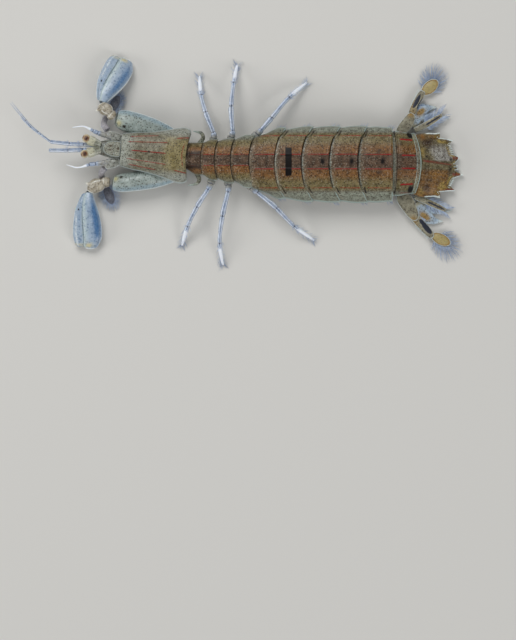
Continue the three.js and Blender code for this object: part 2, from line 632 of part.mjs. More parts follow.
SIDES.forEach(([side]) => {
  const { base, spines, outer, outerWide, fan, inner } = UROPODS[side];
  const spine = (points) => limb({
    points,
    wide: [0.6, 0.45, THINNEST],
    tall: [0.45, 0.3, THINNEST],
    sides: 6,
    rows: 4,
  });
  piece(`uropod_base_${side}`, "tail", "fin", joined(
    limb({ points: base, wide: [0.95, 1.1, 1, 0.6], tall: [0.5, 0.5, 0.45, 0.35], rows: 4 }),
    limb({
      points: [base[2], spines[0][0], spines[0][1]],
      wide: [0.7, 0.75, 0.4],
      tall: [0.4, 0.35, 0.27],
      sides: 6,
      rows: 3,
    }),
    ...spines.map(spine),
  ), ["abdomen_ring_6", "telson"]);
  piece(`uropod_exopod_${side}`, "tail", "fin", limb({
    points: outer,
    wide: outerWide,
    tall: [THINNEST, THINNEST, THINNEST],
    rows: 4,
  }), ["uropod_base_" + side]);
  piece(`uropod_exopod_tip_${side}`, "tail", "fin", limb({
    points: fan,
    wide: [0.45, 1.25, 1.55, 1.15, 0.3],
    tall: [0.27, 0.3, 0.3, 0.27, THINNEST],
    sides: 12,
    rows: 8,
  }), ["uropod_exopod_" + side]);
  piece(`uropod_endopod_${side}`, "tail", "fin", limb({
    points: inner,
    wide: [0.4, 0.8, 1.15, 1.4, 0.45],
    tall: [0.27, 0.3, 0.27, THINNEST, THINNEST],
    sides: 10,
    rows: 8,
  }), ["uropod_base_" + side, "abdomen_ring_6", "telson"]);
});

// Each piece becomes a mesh at its own middle, in the group of its body region.
pieces.forEach(({ name, region, material, geometry }) => {
  geometry.computeBoundingBox();
  const middle = geometry.boundingBox.getCenter(new THREE.Vector3());
  geometry.translate(-middle.x, -middle.y, -middle.z);
  geometry.computeVertexNormals();
  const mesh = new THREE.Mesh(geometry, MATERIALS[material]);
  mesh.name = name;
  mesh.position.copy(middle);
  regions[region].add(mesh);
});

export default root;
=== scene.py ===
"""The looks of a small mantis shrimp, about 55 mm long, resting on its belly on a plain pale floor."""

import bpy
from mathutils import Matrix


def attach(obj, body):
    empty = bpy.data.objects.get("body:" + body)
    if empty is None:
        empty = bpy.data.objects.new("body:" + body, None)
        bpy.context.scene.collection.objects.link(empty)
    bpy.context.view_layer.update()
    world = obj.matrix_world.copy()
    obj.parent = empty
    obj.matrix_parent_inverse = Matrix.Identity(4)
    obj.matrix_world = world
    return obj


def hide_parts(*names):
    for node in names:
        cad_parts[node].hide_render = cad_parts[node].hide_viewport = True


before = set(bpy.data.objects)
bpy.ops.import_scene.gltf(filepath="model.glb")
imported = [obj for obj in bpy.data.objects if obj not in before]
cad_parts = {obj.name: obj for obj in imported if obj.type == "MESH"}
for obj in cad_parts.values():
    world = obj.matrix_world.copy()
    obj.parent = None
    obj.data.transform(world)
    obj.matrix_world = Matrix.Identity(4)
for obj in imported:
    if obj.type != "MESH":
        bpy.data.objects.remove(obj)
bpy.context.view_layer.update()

import math
from functools import reduce

import bpy
import numpy as np
from bpy.props import FloatProperty, FloatVectorProperty, PointerProperty
from bpy.types import Operator, Panel, PropertyGroup

bl_info = {
    "name": "Mantis shrimp",
    "version": (1, 0, 0),
    "blender": (4, 5, 0),
    "location": "3D View > Sidebar > Shrimp",
    "description": "Builds the shell plates, limbs, tail fan and hair fringes of a small mantis shrimp",
    "category": "Object",
}

MM = 0.001
SHIFT = np.array((0.156, 0.146, 0.0))  # millimetres, from the drawing's origin to the frame's
UP = np.array((0.0, 0.0, 1.0))
SIDES = (("right", 1), ("left", -1))
HEAD_HINGE = np.array((-7.95, 0.6, 0.0))  # middle of the carapace's rear edge
HEAD_YAW = math.radians(-5.3)
MIDLINE = -0.35  # of the abdomen
KEEL = 0.085  # half width of a red keel
HAIR_CURL = 0.07  # how far a hair bends aside, as a share of its length
HAIR_POINTS = 10  # points of one hair: three rings of three and the tip


def linear(code):
    """A colour written as an sRGB hex code, turned linear."""
    channels = [int(code[i : i + 2], 16) / 255 for i in (1, 3, 5)]
    return tuple(c / 12.92 if c <= 0.04045 else ((c + 0.055) / 1.055) ** 2.4 for c in channels)


# Shapes

def eased(values, along):
    """The value at `along`, 0 to 1, of evenly spaced values or points, eased between them."""
    values = np.asarray(values, dtype=float)
    place = np.clip(along, 0, 1) * (len(values) - 1)
    low = np.clip(np.floor(place).astype(int), 0, len(values) - 2)
    share = place - low
    if values.ndim > 1:
        share = share[..., None]
    before = values[np.maximum(low - 1, 0)]
    after = values[np.minimum(low + 2, len(values) - 1)]
    a, b = values[low], values[low + 1]
    s2, s3 = share**2, share**3
    return (
        a * (2 * s3 - 3 * s2 + 1)
        + (b - before) / 2 * (s3 - 2 * s2 + share)
        + b * (3 * s2 - 2 * s3)
        + (after - a) / 2 * (s3 - s2)
    )


def ramp(value, start, end):
    """0 before start, 1 after end, smooth between them."""
    share = np.clip((value - start) / (end - start), 0, 1)
    return share * share * (3 - 2 * share)


def fade(value, start, end):
    """1 before start, 0 after end."""
    return 1 - ramp(value, start, end)


def band(value, start, full, wane, end):
    """0 before start, 1 from full to wane, 0 again after end."""
    return ramp(value, start, full) * fade(value, wane, end)


def ridge(value, centre, width):
    """1 at centre, falling away smoothly on both sides."""
    return np.exp(-(((value - centre) / width) ** 2))


def most(*values):
    """The largest of several values at each point."""
    return reduce(np.maximum, values)


def unit(vectors):
    return vectors / most(np.linalg.norm(vectors, axis=-1, keepdims=True), 1e-9)


def head_point(points):
    """From the head's own frame, with x = 0 at the carapace's rear edge, to the drawing's."""
    c, s = math.cos(HEAD_YAW), math.sin(HEAD_YAW)
    x, y, z = np.moveaxis(np.asarray(points, dtype=float), -1, 0)
    return np.stack((x * c - y * s, x * s + y * c, z), axis=-1) + HEAD_HINGE


def select_only(*pieces):
    bpy.ops.object.select_all(action="DESELECT")
    for piece in pieces:
        piece.select_set(True)
    bpy.context.view_layer.objects.active = pieces[0]


def skinned(piece):
    """Turns every face outwards and shades the piece smooth."""
    bpy.ops.object.mode_set(mode="EDIT")
    bpy.ops.mesh.select_all(action="SELECT")
    bpy.ops.mesh.normals_make_consistent(inside=False)
    bpy.ops.object.mode_set(mode="OBJECT")
    bpy.ops.object.shade_smooth()
    return piece


def laid_sphere(name, sides, rows, place):
    """A sphere primitive whose rings are laid over a shape. place(along, angle) gives points in
    millimetres and the marks, which are 0 to 1 at each point and steer the colours."""
    bpy.ops.object.select_all(action="DESELECT")
    bpy.ops.mesh.primitive_uv_sphere_add(segments=sides, ring_count=rows, radius=1)
    piece = bpy.context.object
    piece.name = name
    mesh = piece.data
    mesh.name = name
    points = np.empty(len(mesh.vertices) * 3)
    mesh.vertices.foreach_get("co", points)
    points = points.reshape(-1, 3)
    along = np.arccos(np.clip(-points[:, 2], -1, 1)) / math.pi
    places, marks = place(along, np.arctan2(points[:, 1], points[:, 0]))
    places = places + SHIFT
    places[:, 2] = most(places[:, 2], 0)
    mesh.vertices.foreach_set("co", (places * MM).ravel())
    for mark, values in marks.items():
        values = np.broadcast_to(np.clip(values, 0, 1), along.shape).astype(np.float32)
        mesh.attributes.new(mark, "FLOAT", "POINT").data.foreach_set("value", values)
    mesh.update()
    return skinned(piece)


def limb(name, points, wide, tall=None, sides=24, rows=60, blunt=0.03, joints=(), marks=None):
    """A limb of oval section through points, narrowed at its joints. marks(t, u, s) gets the share
    of the length, and the cosine and sine round the section."""
    tall = wide if tall is None else tall

    def place(along, angle):
        t = 0.6 * along + 0.4 * (0.5 - 0.5 * np.cos(math.pi * along))
        centre = eased(points, t)
        tangent = unit(eased(points, t + 0.01) - eased(points, t - 0.01))
        across = unit(np.cross(UP, tangent))
        rise = unit(np.cross(tangent, across))
        ends = np.clip(np.minimum(t, 1 - t) / blunt, 0, 1)
        swell = np.sqrt(1 - (1 - ends) ** 2)
        for joint in joints:
            swell = swell * (1 - 0.22 * ridge(t, joint, 0.012) + 0.1 * ridge(t, joint - 0.035, 0.02))
        u, s = np.cos(angle), np.sin(angle)
        shape = centre + across * (u * swell * eased(wide, t))[:, None]
        shape = shape + rise * (s * swell * eased(tall, t))[:, None]
        return shape, marks(t, u, s) if marks else {}

    return laid_sphere(name, sides, rows, place)


def shield(name, stations, sides=192, rows=40, place_point=None, lift=None, marks=None):
    """A body ring or shield: an arched back over a flatter belly. Each station is
    (x, middle y, half width, top z, edge z, belly z)."""

    def place(along, angle):
        cap = 0.07
        spread = np.sin(np.clip(np.minimum(along, 1 - along) / cap, 0, 1) * math.pi / 2)
        t = np.clip((along - cap) / (1 - 2 * cap), 0, 1)
        x, middle, half, top, edge, belly = np.moveaxis(eased(stations, t), -1, 0)
        turned = angle + 0.3 * np.sin(2 * angle)
        c, s = np.cos(turned), np.sin(turned)
        across = c * (1.25 - 0.25 * c * c)
        y = middle + spread * half * across
        reach = np.where(s > 0, (top - edge) * np.abs(s) ** 0.9, (belly - edge) * np.abs(s) ** 0.55)
        z = edge + spread * reach
        if lift:
            z = z + spread * lift(x, y, t, across) * ramp(s, 0.0, 0.2)
        # A low keel runs along the middle of the belly, between two grooves.
        belly_keel = 0.16 * ridge(across, 0, 0.05) - 0.1 * ridge(np.abs(across), 0.16, 0.06)
        z = z - spread * fade(s, -0.4, -0.2) * belly_keel
        points = np.stack((x, y, z), axis=-1)
        points = place_point(points, t) if place_point else points
        return points, marks(x, y, t, across, s) if marks else {}

    return laid_sphere(name, sides, rows, place)


def plate(name, outline, centre, top, bottom, sides=192, rows=44, place_point=None, marks=None):
    """A flat piece with a margin of any shape round its centre. outline lists the margin's points in
    order, and top(x, y, share) and bottom(x, y, share) give heights, with share 1 at the margin."""
    loop = np.vstack((outline, outline[:1]))
    lengths = np.concatenate(([0.0], np.cumsum(np.hypot(*np.diff(loop, axis=0).T))))

    def place(along, angle):
        wall = 0.05
        upper = along > 0.5
        share = np.clip(np.minimum(along, 1 - along) / (0.5 - wall), 0, 1)
        reach = angle / (2 * math.pi) % 1 * lengths[-1]
        x = centre[0] + share * (np.interp(reach, lengths, loop[:, 0]) - centre[0])
        y = centre[1] + share * (np.interp(reach, lengths, loop[:, 1]) - centre[1])
        mix = np.clip((along - 0.5 + wall) / (2 * wall), 0, 1)
        z = bottom(x, y, share) * (1 - mix) + top(x, y, share) * mix
        points = np.stack((x, y, z), axis=-1)
        points = place_point(points) if place_point else points
        return points, marks(x, y, share, upper) if marks else {}

    return laid_sphere(name, sides, rows, place)


def joined(name, *forms):
    select_only(*forms)
    bpy.ops.object.join()
    forms[0].name = name
    forms[0].data.name = name
    return forms[0]


def finished(piece, material, slot, *nodes):
    """Gives a piece its finish and body, and says which CAD nodes it stands for. The slot is not used."""
    piece.data.materials.clear()
    piece.data.materials.append(finish(material))
    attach(piece, "root")
    if nodes:
        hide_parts(*nodes)
    return piece


def oval(centre, half_length, half_width, turn, count=48):
    """Points round a turned oval."""
    a = np.linspace(0, 2 * math.pi, count, endpoint=False)
    x, y = half_length * np.cos(a), half_width * np.sin(a)
    c, s = math.cos(turn), math.sin(turn)
    return np.stack((centre[0] + x * c - y * s, centre[1] + x * s + y * c), axis=-1)


def rounded(corners, times=3):
    """A polygon with its corners cut again and again, so that it turns into a smooth outline."""
    corners = np.asarray(corners, dtype=float)
    for _ in range(times):
        after = np.roll(corners, -1, axis=0)
        cut = np.stack((corners * 0.78 + after * 0.22, corners * 0.22 + after * 0.78), axis=1)
        corners = cut.reshape(-1, 2)
    return corners


def strip(along, round_share, index, count):
    """Places on a limb's own unwrap, a strip along and round it; each limb of count has one."""
    along, round_share = np.broadcast_arrays(along, round_share)
    return np.stack((0.03 + 0.94 * along, (index + 0.1 + 0.8 * round_share) / count), axis=-1)


def hair(name, sets, radius, seed=1):
    """Fine tapered hairs, three-sided. Each set has their roots, their tips and the roots' places on the
    unwrap of what they grow from, where each hair is a small patch."""
    rng = np.random.default_rng(seed)
    roots, tips, spots = (np.vstack(column) for column in zip(*sets))
    axis = tips - roots
    length = np.linalg.norm(axis, axis=1, keepdims=True)
    across = unit(np.cross(axis, UP))
    over = unit(np.cross(across, axis))
    sway = rng.normal(0, HAIR_CURL, (len(roots), 1)) * length
    rings = []
    for level, girth in ((0.0, 1.0), (0.4, 0.85), (0.75, 0.6)):
        middle = roots + axis * level + across * sway * math.sin(level * math.pi)
        for corner in range(3):
            a = corner * 2 * math.pi / 3
            rings.append(middle + (across * math.cos(a) + over * math.sin(a)) * radius * girth)
    points = np.stack([*rings, tips], axis=1) + SHIFT
    points[..., 2] = most(points[..., 2], 0.01)
    faces = []
    for first in range(0, len(roots) * HAIR_POINTS, HAIR_POINTS):
        faces.append((first + 2, first + 1, first))
        for level in (0, 3):
            for k in range(3):
                a, b = first + level + k, first + level + (k + 1) % 3
                faces.append((a, b, b + 3, a + 3))
        faces.extend((first + 6 + k, first + 6 + (k + 1) % 3, first + 9) for k in range(3))
    mesh = bpy.data.meshes.new(name)
    mesh.from_pydata((points.reshape(-1, 3) * MM).tolist(), [], faces)
    piece = bpy.data.objects.new(name, mesh)
    bpy.context.collection.objects.link(piece)
    select_only(piece)
    skinned(piece)
    # Each hair's patch on the unwrap is about 0.003 across.
    patch = np.array([(0.0014 * math.cos(2.1 * k), 0.0003 * k - 0.0014) for k in range(HAIR_POINTS)])
    corners = np.empty(len(mesh.loops), dtype=np.int32)
    mesh.loops.foreach_get("vertex_index", corners)
    places = spots[corners // HAIR_POINTS] + patch[corners % HAIR_POINTS]
    mesh.uv_layers.new(name="OFBake").data.foreach_set("uv", places.ravel())
    return piece


# Finishes

def add(tree, kind, links=None, **settings):
    """Adds a node with its settings. links gives, for each input, a socket or a value."""
    node = tree.nodes.new(kind)
    for key, value in settings.items():
        setattr(node, key, value)
    for key, value in (links or {}).items():
        if isinstance(value, bpy.types.NodeSocket):
            tree.links.new(value, node.inputs[key])
        else:
            node.inputs[key].default_value = value
    return node


def shell(name, base, shade, layers=(), over=(), dots=0.0, dot_mm=0.36, dot_colour="#2a2018", white=0.0,
          roughness=0.34, grain_mm=0.09, relief=0.3, waxy=0.1, mottle=0.3, gloss=0.5):
    """Thin cuticle: satin, a little waxy, clouded between base and shade. Layers of other colours lie
    where the marks say, then white flecks and dark pigment cells, then the lines and rims over them."""
    material = bpy.data.materials.new(name)
    material.use_nodes = True
    tree = material.node_tree
    tree.nodes.clear()
    place = add(tree, "ShaderNodeTexCoord").outputs["Object"]

    def noise(size_mm, detail):
        links = {"Vector": place, "Scale": 1 / (size_mm * MM), "Detail": detail, "Roughness": 0.65}
        return add(tree, "ShaderNodeTexNoise", links).outputs[0]

    def mapped(value, low, high, start=0.0, end=1.0):
        return add(tree, "ShaderNodeMapRange", {0: value, 1: low, 2: high, 3: start, 4: end}).outputs[0]

    def times(a, b):
        return add(tree, "ShaderNodeMath", {0: a, 1: b}, operation="MULTIPLY").outputs[0]

    def tinted(colour, share, tint):
        links = {0: share, 6: colour, 7: (*linear(tint), 1)}
        return add(tree, "ShaderNodeMix", links, data_type="RGBA").outputs[2]

    def marked(colour, mark, tint, low, high):
        # Pigment has ragged borders: the mark is broken up by the fine noise.
        mask = add(tree, "ShaderNodeAttribute", attribute_name=mark).outputs["Fac"]
        part = add(tree, "ShaderNodeMath", {0: speckle, 1: 1.1, 2: mask}, operation="MULTIPLY_ADD").outputs[0]
        return tinted(colour, mapped(part, low, high), tint)

    clouds = noise(1.0, 6.0)
    fine = noise(0.24, 3.0)
    speckle = noise(0.16, 2.0)
    colour = tinted((*linear(base), 1), mapped(clouds, 0.38, 0.62), shade)
    for mark, tint in layers:
        colour = marked(colour, mark, tint, 0.68, 1.55)
    # Pigment lies unevenly: darker patches half a millimetre across.
    patches = mapped(noise(0.45, 5.0), 0.44, 0.62, 0.0, mottle)
    colour = add(tree, "ShaderNodeMix", {0: patches, 6: colour, 7: (0.3, 0.26, 0.22, 1)}, data_type="RGBA",
                 blend_type="MULTIPLY").outputs[2]
    if white:
        # White flecks, densest at a ring's front; drawn coarser than the real ones so that they show.
        front = add(tree, "ShaderNodeAttribute", attribute_name="front").outputs["Fac"]
        flecks = mapped(noise(0.2, 1.0), 0.58, 0.7, 0.0, white)
        colour = tinted(colour, times(flecks, mapped(front, 0.0, 1.0, 0.3, 1.0)), "#cdcbb9")
    if dots:
        # Pigment cells, about 0.2 mm across; the clouds thin them out.
        cells = add(tree, "ShaderNodeTexVoronoi", {"Vector": place, "Scale": 1 / (dot_mm * MM)}).outputs[0]
        thinned = mapped(clouds, 0.35, 0.5, 0.45, 1.0)
        colour = tinted(colour, times(mapped(cells, 0.2, 0.38, dots, 0.0), thinned), dot_colour)
    for mark, tint in over:
        colour = marked(colour, mark, tint, 0.8, 1.25)
    grain = add(tree, "ShaderNodeTexVoronoi", {"Vector": place, "Scale": 1 / (grain_mm * MM)}).outputs[0]
    bump = add(tree, "ShaderNodeBump", {"Strength": relief, "Distance": 0.03 * MM, "Height": grain})
    surface = add(tree, "ShaderNodeBsdfPrincipled", {
        "Base Color": colour, "Normal": bump.outputs[0],
        "Roughness": mapped(fine, 0.0, 1.0, roughness - 0.08, roughness + 0.12), "Specular IOR Level": gloss,
        "Subsurface Weight": waxy, "Subsurface Scale": 1.0,
        "Subsurface Radius": (0.5 * MM, 0.4 * MM, 0.3 * MM),
    })
    add(tree, "ShaderNodeOutputMaterial", {"Surface": surface.outputs[0]})
    return material


FINISHES = {
    # Calcified cuticle of the back: brown saddle, ochre flanks, olive sides, blue-grey side flaps.
    "back": dict(
        name="back_cuticle", base="#6c5543", shade="#4d3c2f",
        layers=[("flank", "#8f6230"), ("olive", "#847a50"), ("flap", "#939a8a"), ("front", "#8f8571")],
        over=[("belly", "#c3c7bf"), ("spot", "#3a3029"), ("edge", "#a3b5ae"), ("red", "#8c1513"),
              ("dark", "#0f0b09")],
        dots=1.0, dot_mm=0.25, dot_colour="#241c14", white=0.8, mottle=0.7, gloss=0.2),
    # The shield over the head: olive grey, thick with dark pigment cells.
    "shield": dict(
        name="shield_cuticle", base="#918d78", shade="#6d6852",
        layers=[("gold", "#96864c"), ("flap", "#a5aaa0"), ("belly", "#b0b4ab")],
        over=[("spot", "#4c4234"), ("edge", "#b4bfbc"), ("red", "#8a1814"), ("dark", "#2a1512")],
        dots=1.0, dot_mm=0.25, dot_colour="#26211a", white=0.55, mottle=0.55, gloss=0.25),
    # Smooth, hard blade of the claws: deep blue middle, white rim, a greenish seam, and a painted highlight
    # along the finger's outer edge.
    "claw": dict(
        name="claw_cuticle", base="#abbac8", shade="#96a8ba",
        layers=[("blue", "#46709c"), ("seam", "#b3c2c0"), ("gold", "#cfc494")],
        over=[("edge", "#e2e9ea"), ("dark", "#10151e")],
        dots=0.5, dot_mm=0.42, dot_colour="#3f5b7a", roughness=0.22, relief=0.1, waxy=0.2, mottle=0.12),
    # Grey-green arm of the claws with a smooth pale blue outer side.
    "arm": dict(
        name="arm_cuticle", base="#a7b2ac", shade="#8b9791",
        layers=[("gold", "#b3ae80"), ("blue", "#9db4bd")], over=[("edge", "#d3dfe0"), ("dark", "#262019")],
        dots=0.9, dot_mm=0.31, dot_colour="#38322a", roughness=0.28),
    # The wrist is sandier and thinner.
    "wrist": dict(
        name="wrist_cuticle", base="#bfb8a7", shade="#9a917c",
        over=[("edge", "#dcdbd0"), ("dark", "#4a3b2c")],
        dots=0.7, dot_mm=0.3, dot_colour="#4b3c30", white=0.6, mottle=0.35),
    # Thin cuticle of the walking legs and feelers: blue-white, nearly clear, with painted white highlights
    # down the legs' sides.
    "limb": dict(
        name="limb_cuticle", base="#b7c4d6", shade="#8fa1bb",
        layers=[("gold", "#99978b"), ("dark", "#4d5970")], over=[("joint", "#384055"), ("edge", "#eff4fb")],
        dots=0.4, dot_mm=0.3, dot_colour="#4c587a", roughness=0.22, waxy=0.15, mottle=0.35),
    # The flat plates at the roots of the feelers: grey, speckled.
    "root": dict(
        name="feeler_root_cuticle", base="#a2a59c", shade="#7d8077",
        layers=[("gold", "#9c8f74")], over=[("dark", "#2e2820"), ("edge", "#c9cec9")],
        dots=0.9, dot_mm=0.3, dot_colour="#2f2a24", white=0.5, mottle=0.5),
    # The eyestalks: cream turning green-grey, with dark stars.
    "stalk": dict(
        name="stalk_cuticle", base="#a9ac9c", shade="#868a79",
        layers=[("gold", "#c4c2a8")], over=[("dark", "#3d3022"), ("edge", "#d3d2c2")],
        dots=0.7, dot_mm=0.32, dot_colour="#463625", white=0.3),
    # The belly and the head under its shield: softer, paler cuticle with grey clouds.
    "under": dict(
        name="belly_cuticle", base="#8f948c", shade="#757a70",
        layers=[("belly", "#c6cac6")], over=[("dark", "#4b4032"), ("edge", "#dfe4e0")],
        dots=0.7, dot_mm=0.3, dot_colour="#3d362c", white=0.4, mottle=0.5),
    # The tail plate: amber and brown patches on olive, with a hard white margin.
    "tail": dict(
        name="tail_cuticle", base="#827756", shade="#5f573f",
        layers=[("flank", "#956527"), ("front", "#a8a6a0"), ("gold", "#b0984e"), ("olive", "#372213"),
                ("belly", "#b9bbb0")],
        over=[("red", "#7c3228"), ("dark", "#1f130c"), ("edge", "#dfebe7")],
        dots=0.7, dot_mm=0.28, dot_colour="#2b1e13", white=0.6, mottle=0.8, gloss=0.25),
    # The tail fan's arms and blades: sandy, edged white, with clear dark panes and yellow ovals.
    "fan": dict(
        name="fan_cuticle", base="#a09c86", shade="#7f7a66",
        layers=[("blue", "#a9bccb"), ("flank", "#9a7a3a")],
        over=[("window", "#262a36"), ("gold", "#b3a265"), ("dark", "#33261a"), ("edge", "#c3cdca")],
        dots=0.8, dot_mm=0.32, dot_colour="#3a2e20", white=0.35, mottle=0.45),
    # The feeler scale's clear leaf, dark against its pale hairs.
    "scale": dict(
        name="scale_leaf", base="#676b76", shade="#484c58", layers=[("gold", "#b3b0b4")],
        over=[("edge", "#8793ab")], dots=0.5, dot_mm=0.3, roughness=0.3),
    # The swimming leaves and mouth limbs: thin, smooth and greyish, with a cream rim.
    "leaf": dict(
        name="swimming_leaf", base="#a5a19a", shade="#8a8781",
        over=[("dark", "#4c443c"), ("edge", "#cdc6ac")],
        roughness=0.32, waxy=0.2),
    # Hairs: clear and blue-white.
    "hair": dict(
        name="hair_keratin", base="#8b9dba", shade="#bccade",
        roughness=0.4, relief=0.0, waxy=0.05, mottle=0.0),
    # Compound eye: cream and glossy round a brown field, set with tiny lenses.
    "eye": dict(
        name="eye_lenses", base="#b8a27e", shade="#977c58", layers=[("gold", "#ddd2b2")],
        over=[("spot", "#754c33"), ("dark", "#331c11")],
        roughness=0.16, grain_mm=0.07, relief=0.5, waxy=0.05),
}


def finish(name):
    """The material of a finish, made when it is first asked for."""
    return bpy.data.materials.get(FINISHES[name]["name"]) or shell(**FINISHES[name])


# The head

def shield_lines(x, y):
    """The red and dark lines on the shield: (distance off the middle at the front and at the rear of
    each, where it runs along x, and how strong it is)."""
    total = np.zeros_like(x)
    for front, rear, start, end, strength in (
        (0.0, 0.0, -8.4, -2.8, 1.0),
        (1.25, 1.65, -9.0, -2.6, 0.75),
        (2.05, 2.6, -8.7, -4.1, 0.75),
        (2.35, 2.7, -1.9, 0.2, 0.95),
    ):
        share = np.clip((x - start) / (end - start), 0, 1)
        inside = band(x, start - 0.1, start + 0.5, end - 0.5, end + 0.1)
        total = most(total, ridge(np.abs(y), front + (rear - front) * share, 0.08) * inside * strength)
    return total


def setting_mm(context, name):
    """A length that the user may change, in millimetres."""
    return getattr(context.scene.shrimp, name) / MM


class SHRIMP_OT_shield(Operator):
    """Make the shield over the head, the small plate before it and the body under both"""

    bl_idname = "shrimp.shield"
    bl_label = "Shield and head"

    def execute(self, context):
        height = setting_mm(context, "keel_height")

        def lift(x, y, t, across):
            grooves = ridge(np.abs(y), 1.0 + 0.09 * (x + 9), 0.35) * band(x, -8.5, -6, -3.2, -2.2)
            neck = ridge(x, -2.7 + 0.04 * y * y, 0.16) * fade(np.abs(y), 2.3, 2.9)
            return height * shield_lines(x, y) - 0.1 * grooves - 0.1 * neck

        def marks(x, y, t, across, s):
            lines = shield_lines(x, y) * ramp(s, 0, 0.1)
            rear_line = 0.6 * ridge(x, -0.6 + 0.06 * y * y, 0.09) * fade(np.abs(y), 1.5, 2.1)
            rear_edge = 0.5 * ramp(t, 0.97, 1) * ramp(np.abs(y), 2.4, 3)
            return {
                "red": most(0.9 * lines, rear_line),
                "dark": most(
                    1.2 * ridge(x, -5.55, 0.18) * ridge(y, 0, 0.17),
                    ramp(t, 0.965, 0.99) * fade(np.abs(y), 2.0, 2.4) * 0.8,
                ),
                "spot": most(
                    0.5 * lines, 0.45 * ridge(np.abs(y), 1.6, 0.35) * ridge(x, -2.9, 0.5),
                    0.35 * ridge(np.abs(y), 0.65, 0.2) * band(x, -8.6, -7, -4.5, -3.2),
                    0.3 * ridge(np.abs(y), 2.0, 0.2) * band(x, -9.2, -8, -5, -3.6)),
                "gold": 0.62 * ramp(x, -4.6, -2.2) * fade(np.abs(y), 1.8, 3.2) * ramp(s, 0, 0.1),
                "flap": most(0.8 * ramp(np.abs(y), 2.2, 3.4), 0.85 - 0.85 * ramp(x, -9.6, -6.5)),
                "edge": 0.8 * ramp(np.abs(across), 0.93, 0.99) + rear_edge,
                "belly": fade(s, -0.2, 0.0),
            }

        def with_lobes(points, t):
            rear = np.clip(1 + points[:, 0] / 3, 0, 1)
            points[:, 0] += 0.6 * rear * (points[:, 1] / 3.6) ** 2
            return head_point(points)

        finished(shield("carapace_shell", [
            (-9.75, 0, 2.45, 5.15, 3.95, 3.75), (-8.3, 0, 2.75, 5.5, 3.75, 3.5),
            (-5.6, 0, 3.1, 5.85, 3.55, 3.25), (-3.1, 0, 3.65, 6.05, 3.4, 3.1),
            (-1.3, 0, 4.2, 6.1, 3.3, 3.05), (-0.35, 0, 3.95, 5.95, 3.35, 3.1), (0, 0, 3.3, 5.75, 3.5, 3.3),
        ], sides=256, rows=90, place_point=with_lobes, lift=lift, marks=marks),
            "shield", "shield", "carapace")

        rear = -9.85
        outline = [(rear, 0), (rear, 1.0), (rear - 0.15, 1.15), (rear - 0.9, 1.15), (rear - 1.6, 1.05),
                   (rear - 2.1, 0.85), (rear - 2.45, 0.5), (rear - 2.55, 0)]
        outline += [(x, -y) for x, y in reversed(outline[1:-1])]

        def rostral_top(x, y, share):
            swellings = 0.14 * ridge(x, rear - 1.3, 0.4) * ridge(np.abs(y), 0.5, 0.3)
            return 5.3 - 0.12 * y * y + swellings - 0.1 * ridge(x, rear - 0.75, 0.12) - 0.15 * share**6

        def rostral_marks(x, y, share, upper):
            fold = 0.5 * ridge(x, rear - 0.9, 0.12) * ridge(np.abs(y), 0.75, 0.25)
            return {
                "edge": 0.75 * ramp(share, 0.9, 0.98) + fold,
                "spot": most(0.9 * ridge(x, rear - 1.5, 0.3) * ridge(np.abs(y - 0.1), 0.3, 0.2),
                             0.9 * ridge(x, rear - 0.35, 0.22) * ridge(y, 0.1, 0.25)),
                "flap": 0.6 + 0 * x,
            }

        finished(plate(
            "rostral_plate_shell", outline, (rear - 1.1, 0), rostral_top,
            lambda x, y, share: 4.9 - 0.1 * y * y + 0 * share,
            place_point=head_point, sides=96, rows=36, marks=rostral_marks,
        ), "shield", "shield", "rostral_plate")

        finished(shield("head_body", [
            (-13.2, 0, 0.9, 4.65, 4.2, 3.85), (-12.2, 0, 1.2, 4.75, 4.0, 3.5),
            (-10.8, 0, 1.45, 4.75, 3.7, 2.9), (-9.4, 0, 2.0, 4.6, 3.2, 2.2), (-7, 0, 2.3, 4.4, 2.6, 1.7),
            (-4.5, 0, 2.3, 4.4, 2.4, 1.45), (-2, 0, 2.35, 4.4, 2.4, 1.5), (-0.1, 0, 2.0, 4.4, 2.6, 1.9),
        ], sides=96, rows=60, place_point=lambda points, t: head_point(points),
            marks=lambda x, y, t, across, s: {
                "dark": 0.5 * ridge(np.abs(y), 0.9, 0.25) * fade(x, -11.5, -10.5),
                "edge": 0.5 * fade(s, -0.6, -0.2),
            }), "under", "underside", "cephalothorax")
        return {"FINISHED"}


